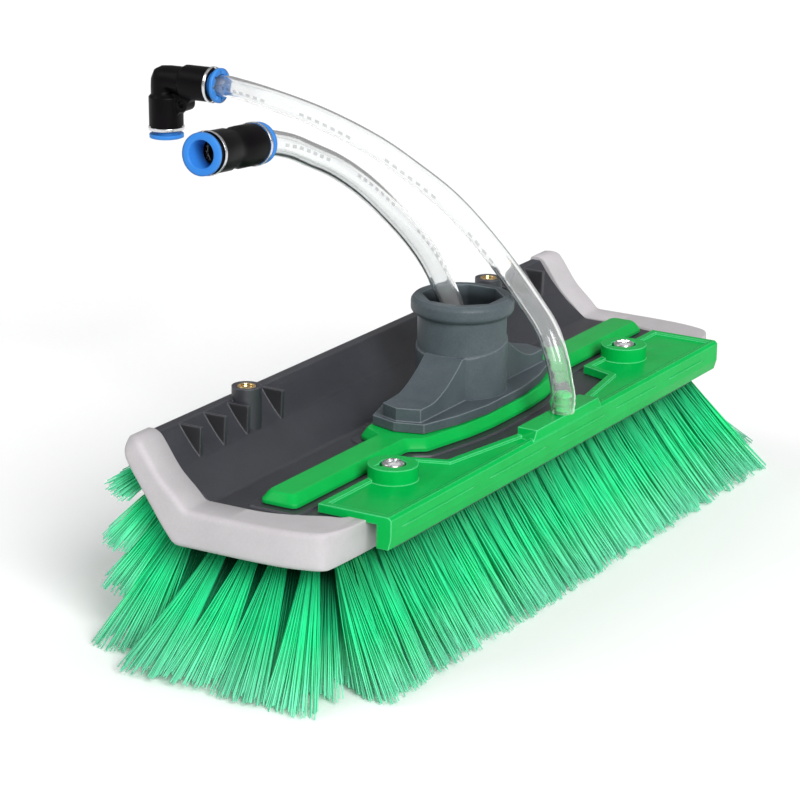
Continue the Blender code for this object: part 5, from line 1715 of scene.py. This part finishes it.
@dataclass(frozen=True)
class Mouldings:
    """The stock, bar and rinse plate, and the socket's foot, as finer copies of their CAD nodes."""

    # How wide their rounded edges are
    stock_edge: float = 0.0004
    bar_edge: float = 0.0005
    plate_edge: float = 0.00035
    socket_edge: float = 0.0004
    small_edge: float = 0.0001
    # Where the wing's ribs and the boss among them stand, which way the ribs' shaded faces
    # look, and how dark the painted shade on these faces is
    rib_zone: Span = (0.064, 0.118)
    rib_y: float = 0.0200
    rib_facing: float = -0.9
    boss_x: float = 0.0813
    boss_reach: float = 0.0051
    rib_painted_shade: float = 0.90

    def build(self, shop: Workshop) -> None:
        """Builds every moulding and shows the small parts under the stock.

        Args:
            shop: Where pieces are made.
        """
        self.shade_ribs(shop.refined("brush_stock", Finish.STOCK, self.stock_edge).data)
        shop.refined("carrier_bar", Finish.BAR, self.bar_edge)
        shop.refined("pole_socket", Finish.SOCKET, self.socket_edge)
        shop.refined("rinse_plate", Finish.PLATE, self.plate_edge)
        shop.refined("inlet_barb", Finish.SOCKET, self.small_edge, 2)
        shop.refined("rinse_channel_strip", Finish.PLATE, self.small_edge, 2)
        for side in ("left", "right"):
            shop.keep(f"socket_screw_{side}", Finish.STEEL)

    def shade_ribs(self, mesh: bpy.types.Mesh) -> None:
        """Darkens the faces of the wing's ribs that look towards -X, which stand in shade, with painted
        shade.

        Args:
            mesh: The finer copy of the stock.
        """
        count = len(mesh.polygons)
        normals = np.empty(3 * count)
        centres = np.empty(3 * count)
        mesh.polygons.foreach_get("normal", normals)
        mesh.polygons.foreach_get("center", centres)
        x, y = centres[0::3], centres[1::3]
        reach = np.abs(x)
        # Painted shade on the ribs' faces that look towards -X
        ribs = ((normals[0::3] < self.rib_facing) & (reach > self.rib_zone[0]) & (reach < self.rib_zone[1])
                & (np.abs(reach - self.boss_x) > self.boss_reach) & (y > self.rib_y))
        values = mesh.attributes.new("painted_shade", "FLOAT", "FACE")
        values.data.foreach_set("value", self.rib_painted_shade * ribs)
        LOG.info("shaded %d rib faces", int(ribs.sum()))


@dataclass(frozen=True)
class SocketTube:
    """The pole socket's round tube with its tilted cuff, rolled collar and eight-sided bore."""

    # The tube and its cuff, whose end slopes. The slope sets in between two shares of the
    # cuff's height, and fades between two distances over it.
    tube: float = 0.0152
    cuff: float = 0.0157
    cuff_height: float = 0.0252
    cuff_slope: float = 0.18
    cuff_step: float = 0.0001
    cuff_start: Span = (0.5, 0.8)
    cuff_fade: Span = (0.0012, 0.0040)
    # The collar. Its roll's corners under and over its widest part are given by how far they
    # stand in from its radius, and over its bottom or its top, in shares of its lip.
    collar: float = 0.0176
    collar_height: float = 0.0056
    roll_under: tuple[Span, ...] = ((1.0, -0.3), (0.25, 0.0), (0.0, 0.45))
    roll_over: tuple[Span, ...] = ((0.0, -0.6), (0.5, 0.0))
    # The foot and the rim
    foot: float = 0.0060
    top: float = 0.0413
    # The bore, whose flats fade between two distances outside its corners, and which is
    # darkened with painted shade between two depths under the rim
    bore: float = 0.0142
    bore_floor: float = 0.0080
    bore_sides: int = 8
    bore_fade: Span = (0.0001, 0.0008)
    mouth: float = 0.0045
    shade_span: Span = (0.0050, 0.0004)
    # How far the tube lies over the CAD's surfaces, and how far from a corner its curve begins
    cover: float = 0.00006
    rounding: float = 0.0006
    round_steps: int = 5
    sides: int = 96

    def profile(self) -> list[Span]:
        """The tube's outside, collar and bore, with soft corners.

        Returns:
            Radius and height of each point.
        """
        lip = self.collar - self.tube
        bottom = self.top - self.collar_height
        wall = self.bore - 2 * self.cover
        roll = [(self.collar - inwards * lip, level + upwards * lip)
                for level, turns in ((bottom, self.roll_under), (self.top, self.roll_over))
                for inwards, upwards in turns]
        corners = [(wall, self.bore_floor), (self.cuff, self.foot), (self.cuff, self.cuff_height),
                   (self.tube, self.cuff_height + self.cuff_step), *roll, (wall, self.top),
                   (wall, self.top - self.mouth)]
        covering = [(radius + self.cover, height + self.cover * (height > self.top - lip))
                    for radius, height in corners]
        return rounded_profile(covering, self.rounding, self.round_steps)

    def build(self, shop: Workshop) -> None:
        """Builds the tube.

        Heights on the cuff rise by the slope times x. Radii in the bore are those of a
        polygon: r cos(pi / n) / cos(angle from the nearest flat's middle).

        Args:
            shop: Where pieces are made.
        """
        def shaped(radii: Array, heights: Array, angles: Array) -> tuple[Array, Array]:
            """Tilts the cuff and makes the bore a polygon.

            Args:
                radii: The radius of each point.
                heights: The height of each point.
                angles: The angle of each point.

            Returns:
                The new radii and heights.
            """
            on_cuff = smoothstep(heights, *(share * self.cuff_height for share in self.cuff_start))
            below = 1 - smoothstep(heights, *(self.cuff_height + over for over in self.cuff_fade))
            inside = 1 - smoothstep(radii, *(self.bore + outside for outside in self.bore_fade))
            tilt = self.cuff_slope * radii * np.cos(angles) * on_cuff * below * (1 - inside)
            half_turn = math.pi / self.bore_sides
            from_flat = (angles + half_turn) % (2 * half_turn) - half_turn
            polygon = math.cos(half_turn) / np.cos(from_flat)
            return radii * (1 + inside * (polygon - 1)), heights + tilt

        shape = revolved(self.profile(), self.sides, True, shaped)
        # Painted shade: the inside of the bore darkens with depth under the rim
        inside = np.linalg.norm(shape.points[:, :2], axis=1) < self.bore + self.cover
        depths = (self.top - under for under in self.shade_span)
        painted_shade = inside * (1 - smoothstep(shape.points[:, 2], *depths))
        shape = Shape(shape.points, shape.faces, {"painted_shade": painted_shade})
        shop.surface("pole_socket_tube", shape, Finish.SOCKET, "brush", ["pole_socket"], 50.0)


@dataclass(frozen=True)
class Bumper:
    """A soft end bumper, at +X: round the front corner, along the base's end and up the wing.

    The places of its sections are the CAD source's own. A section is a closed outline of X
    and share of height, whose outer corners are quarter ellipses.
    """

    inner_x: float = 0.1280
    outer_x: float = 0.1410
    return_x: float = 0.1060
    front: float = -0.0330
    bottom: float = -0.0115
    top: float = 0.0010
    # Its rounded edges, the chamfer on its inner edge, the largest shares of a section's width
    # that both take up, and the curves between its sections
    edge: float = 0.0024
    edge_share: float = 0.45
    rim_share: float = 0.2
    roundness: float = 0.8
    round_steps: int = 9
    rim: float = 0.0006
    crease: float = 0.0016
    run_reach: float = 0.008
    # The sections round the corner (X, Y and inset), those of the nose in front of it (inset,
    # setback and share of the undercut), and those along the base's end
    corner: tuple[Place, ...] = (
        (0.1060, -0.0290, 0.0053), (0.1190, -0.0270, 0.0035), (0.1200, -0.0210, 0.0017),
        (0.1240, -0.0140, 0.0005))
    nose: tuple[Place, ...] = (
        (0.0225, 0.0, 1.0), (0.0165, 0.0003, 0.97), (0.0110, 0.0013, 0.7), (0.0070, 0.0031, 0.2))
    undercut: float = 0.0030
    corner_back: float = -0.0030
    side_back: float = 0.0100
    # The wing: its underside, its crease, its top, and how far along its underside and its
    # upper face the sections stand
    heel_y: float = 0.0240
    depth: float = 0.0110
    slope_run: float = 0.0173
    slope_rise: float = 0.0248
    crease_y: float = 0.0180
    wing_top_y: float = 0.0378
    wing_top_z: float = 0.0198
    wing_radius: float = 0.070
    wing_shares: tuple[Span, ...] = ((0.2, 0.23), (0.5, 0.39), (0.8, 0.55))
    # How far it stands off the wing's heel, crease, underside (Y and Z) and dished face
    heel_off: float = 0.0005
    crease_off: float = 0.0008
    slope_off: Span = (0.0004, -0.0003)
    wing_proud: float = 0.0015
    # The sections wrapped over the wing's top: the Y and Z of their low and high ends from
    # the top's front edge, and how far they are drawn in
    wrap: tuple[tuple[Span, Span, float], ...] = (
        ((0.00400, -0.00600), (-0.00280, -0.00048), 0.0),
        ((0.00458, -0.00320), (-0.00140, 0.00078), 0.00036),
        ((0.00470, -0.00120), (0.00060, 0.00156), 0.00180),
        ((0.00410, 0.00060), (0.00280, 0.00144), 0.00336))

    def wing_height(self, y: float) -> float:
        """The height of the wing's dished face, an arc from the crease to the wing's top.

        Args:
            y: Where it is asked for.

        Returns:
            The height.
        """
        run = self.wing_top_y - self.crease_y
        half = math.hypot(run, self.wing_top_z) / 2
        offset = math.sqrt(self.wing_radius ** 2 - half ** 2) / (2 * half)
        centre_y = self.crease_y + run / 2 - offset * self.wing_top_z
        centre_z = self.wing_top_z / 2 + offset * run
        return centre_z - math.sqrt(self.wing_radius ** 2 - (y - centre_y) ** 2)

    def section(self, inner: float, outer: float, low: Sequence[float], high: Sequence[float]) -> Array:
        """One closed section.

        Args:
            inner: The X of its inner side.
            outer: The X of its outer side.
            low: Y and Z of its bottom.
            high: Y and Z of its top.

        Returns:
            One row of X, Y, Z per point.
        """
        edge = min(self.edge, self.edge_share * (outer - inner))
        share = min(self.edge / math.dist(low, high), self.edge_share)
        turn = np.linspace(0, math.pi / 2, self.round_steps)
        outer_x = outer - edge * (1 - np.sin(turn) ** self.roundness)
        rise = share * (1 - np.cos(turn) ** self.roundness)
        small = min(self.rim, self.rim_share * (outer - inner))
        x = np.concatenate([[inner], outer_x, outer_x[::-1], [inner + small, inner]])
        height = np.concatenate([[0.0], rise, (1 - rise)[::-1], [1.0, 1.0 - small / math.dist(low, high)]])
        place = np.array(low) + height[:, None] * (np.array(high) - np.array(low))
        return np.column_stack([x, place])

    def sections(self) -> list[Array]:
        """All sections, from the nose at the front to the wing's top.

        Returns:
            One array of points per section.
        """
        made = []
        for inset, behind, share in self.nose:
            y = self.front + behind
            made.append(self.section(self.return_x, self.outer_x - inset,
                                     (y + share * self.undercut, self.bottom), (y, self.top)))
        for x, y, inset in self.corner:
            made.append(self.section(x, self.outer_x - inset, (y, self.bottom), (y, self.top)))
        for y in (self.corner_back, self.side_back):
            made.append(self.section(self.inner_x, self.outer_x, (y, self.bottom), (y, self.top)))
        made.append(self.section(self.inner_x, self.outer_x, (self.heel_y - self.heel_off, self.bottom),
                                 (self.crease_y + self.crease_off, self.top)))
        for slope_share, face_share in self.wing_shares:
            y = self.crease_y + face_share * (self.wing_top_y - self.crease_y)
            low = (self.heel_y + slope_share * self.slope_run + self.slope_off[0],
                   slope_share * self.slope_rise - self.depth + self.slope_off[1])
            made.append(self.section(self.inner_x, self.outer_x, low,
                                     (y, self.wing_height(y) + self.wing_proud)))
        wing_top = np.array((self.wing_top_y, self.wing_top_z))
        for low, high, drawn_in in self.wrap:
            made.append(self.section(self.inner_x, self.outer_x - drawn_in, wing_top + low,
                                     wing_top + high))
        return made

    def shape(self) -> Shape:
        """The sections joined by straight runs, with a curve at each.

        Returns:
            The bumper at +X.
        """
        sections = np.array(self.sections())
        count = sections.shape[1]
        reaches = np.full(len(sections) - 2, self.run_reach)
        reaches[len(self.nose) + len(self.corner) + 1] = self.crease
        rows = curved_path(sections.reshape(len(sections), -1), reaches).reshape(-1, count, 3)
        points = rows.reshape(-1, 3)
        middles = np.stack([rows[0].mean(axis=0), rows[-1].mean(axis=0)])
        edge = np.arange(count)
        after = (edge + 1) % count
        last = (len(rows) - 1) * count
        first_cap = np.stack([np.full(count, len(points)), after, edge], axis=1)
        last_cap = np.stack([np.full(count, len(points) + 1), last + edge, last + after], axis=1)
        sleeve = grid_faces(len(rows), count, False, True)
        return Shape(np.vstack([points, middles]), (sleeve, first_cap, last_cap))

    def build(self, shop: Workshop) -> None:
        """Builds both bumpers, the left one as the right one's mirror image.

        Args:
            shop: Where pieces are made.
        """
        right = self.shape()
        mirrored = Shape(right.points * (-1.0, 1.0, 1.0), tuple(part[:, ::-1] for part in right.faces))
        for side, shape in (("right", right), ("left", mirrored)):
            shop.surface(f"bumper_{side}_detail", shape, Finish.BUMPER, "brush", [f"bumper_{side}"], 45.0)


@dataclass(frozen=True)
class LipRidge:
    """The fine raised line along the rinse plate's front lip, broken into dashes along X."""

    front: float = -0.0420
    height: float = -0.0013
    radius: float = 0.00038
    bluntness: int = 8
    end_share: float = 0.002
    stations: int = 41
    sides: int = 12
    dashes: tuple[Span, ...] = (
        (-0.1120, -0.0640), (-0.0560, -0.0150), (-0.0070, 0.0280), (0.0350, 0.0680), (0.0760, 0.1060))

    def dash(self, start: float, end: float) -> Shape:
        """One dash: a half round bar whose radius falls to nothing at its ends.

        Its radius at a share s of its length is R (1 - (2 s - 1)^8), 8 being its bluntness.

        Args:
            start: The X at which it starts.
            end: The X at which it ends.

        Returns:
            The dash.
        """
        share = np.linspace(self.end_share, 1 - self.end_share, self.stations)
        radius = self.radius * (1 - (2 * share - 1) ** self.bluntness)
        angle = even_turn(self.sides)
        x = np.repeat((start + (end - start) * share)[:, None], self.sides, axis=1)
        y = self.front + radius[:, None] * np.cos(angle)
        z = self.height + radius[:, None] * np.sin(angle)
        points = np.stack([x, y, z], axis=-1).reshape(-1, 3)
        return Shape(points, (grid_faces(self.stations, self.sides, False, True)[:, ::-1],))

    def build(self, shop: Workshop) -> None:
        """Builds the dashes as one piece."""
        ridge = joined([self.dash(*ends) for ends in self.dashes])
        shop.surface("plate_lip_ridge", ridge, Finish.PLATE, "brush")


# Camera, floor and light


@dataclass(frozen=True)
class CameraView:
    """The photograph's camera, in metres and degrees, and its lens in millimetres."""

    position: Place = (-0.9305, -0.51622, 0.3825)
    azimuth: float = -59.76
    elevation: float = 17.22
    roll: float = 0.90
    lens: float = 146.08
    clip: Span = (0.05, 20.0)

    def build(self) -> bpy.types.Object:
        """Makes the scene's camera at the photograph's place.

        Returns:
            The camera object, set as the scene's own.
        """
        azimuth, elevation, roll = (math.radians(turn) for turn in (self.azimuth, self.elevation, self.roll))
        forward = Vector((-math.sin(azimuth) * math.cos(elevation),
                          math.cos(azimuth) * math.cos(elevation), -math.sin(elevation)))
        level = Vector((math.cos(azimuth), math.sin(azimuth), 0.0))
        upright = level.cross(forward)
        right = level * math.cos(roll) + upright * math.sin(roll)
        up = upright * math.cos(roll) - level * math.sin(roll)
        data = bpy.data.cameras.new("photo_camera")
        data.lens = self.lens
        data.clip_start, data.clip_end = self.clip
        camera = scene_object("photo_camera", data)
        turn = Matrix((right, up, -forward)).transposed().to_4x4()
        camera.matrix_world = Matrix.Translation(self.position) @ turn
        bpy.context.scene.camera = camera
        return camera


@dataclass(frozen=True)
class SoftSun:
    """A wide, even light from one side.

    Attributes:
        name: The light's name.
        side: The direction that the light comes from.
        strength: How bright it is.
        width: How many degrees of the sky it fills.
    """

    name: str
    side: Place
    strength: float
    width: float

    def build(self) -> None:
        """Makes the light."""
        data = bpy.data.lights.new(self.name, "SUN")
        data.energy = self.strength
        data.angle = math.radians(self.width)
        light = scene_object(self.name, data)
        light.rotation_mode = "QUATERNION"
        light.rotation_quaternion = Vector(self.side).to_track_quat("Z", "Y")


@dataclass(frozen=True)
class Studio:
    """A pale floor under soft light.

    Attributes:
        floor_colour: The floor's colour, linear.
        floor_shade: What the floor's darker clouds keep of its colour.
        floor_cloud: How fine those clouds are.
        floor_roughness: How dull the floor is.
        floor_specular: How strongly it mirrors.
        floor_reach: How far the floor goes to each side.
        floor_levels: The heights of its underside and of its upper side.
        world_strength: How bright the sky is, except where it is seen.
        suns: The lights.
    """

    floor_colour: Colour = (0.97, 0.97, 0.97)
    floor_shade: float = 0.985
    floor_cloud: float = 6.0
    floor_roughness: float = 0.8
    floor_specular: float = 0.1
    floor_reach: float = 8.0
    floor_levels: Span = (-0.02, -0.0001)
    world_strength: float = 0.30
    suns: tuple[SoftSun, ...] = (
        SoftSun("key_light", (-0.62, -0.82, 0.60), 3.4, 30.0),
        SoftSun("side_light", (-0.60, 0.75, 0.80), 0.6, 30.0),
        SoftSun("top_light", (0.30, 0.00, 1.0), 0.45, 60.0),
    )

    def build(self) -> None:
        """Makes the floor, the world and the lights."""
        bpy.context.scene.view_settings.view_transform = "Standard"
        self.build_world()
        self.build_floor()
        for sun in self.suns:
            sun.build()

    def build_world(self) -> None:
        """Makes the sky, which is white where the camera sees it."""
        world = bpy.data.worlds.new("studio")
        world.use_nodes = True
        sky = Nodes(world.node_tree)
        path = sky.add("LightPath").outputs
        seen = sky.math("MAXIMUM", path["Is Camera Ray"], path["Is Transmission Ray"])
        sky.set(world.node_tree.nodes["Background"], Color=(1.0, 1.0, 1.0, 1.0),
                Strength=sky.remap(seen, 0.0, 1.0, self.world_strength, 1.0))
        bpy.context.scene.world = world

    def build_floor(self) -> None:
        """Makes the floor."""
        material, nodes, shader = new_material("floor_finish")
        darker = tuple(self.floor_shade * part for part in self.floor_colour)
        clouded = nodes.mix(nodes.noise(self.floor_cloud, 2.0), darker, self.floor_colour)
        nodes.set(shader, Base_Color=clouded, Roughness=self.floor_roughness,
                  Specular_IOR_Level=self.floor_specular)
        low, high = ((way * self.floor_reach, way * self.floor_reach, level)
                     for way, level in zip((-1, 1), self.floor_levels))
        mesh = make_mesh("floor", box_shape(low, high))
        mesh.materials.append(material)
        floor = scene_object("floor", mesh)


def main() -> None:
    """Builds the whole scene."""
    logging.basicConfig(level=logging.INFO, format="%(message)s")
    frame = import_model()
    CameraView().build()
    shop = Workshop(frame, build_materials())
    for maker in (*FittingSizes().fittings(), OUTER_HOSE, INNER_HOSE, Mouldings(), SocketTube(), Bumper(),
                  LipRidge(), BarbRidges(), PlateScrew(), Insert(), BristleField()):
        maker.build(shop)
    Studio().build()
    LOG.info("scene built")


if __name__ == "__main__":
    main()
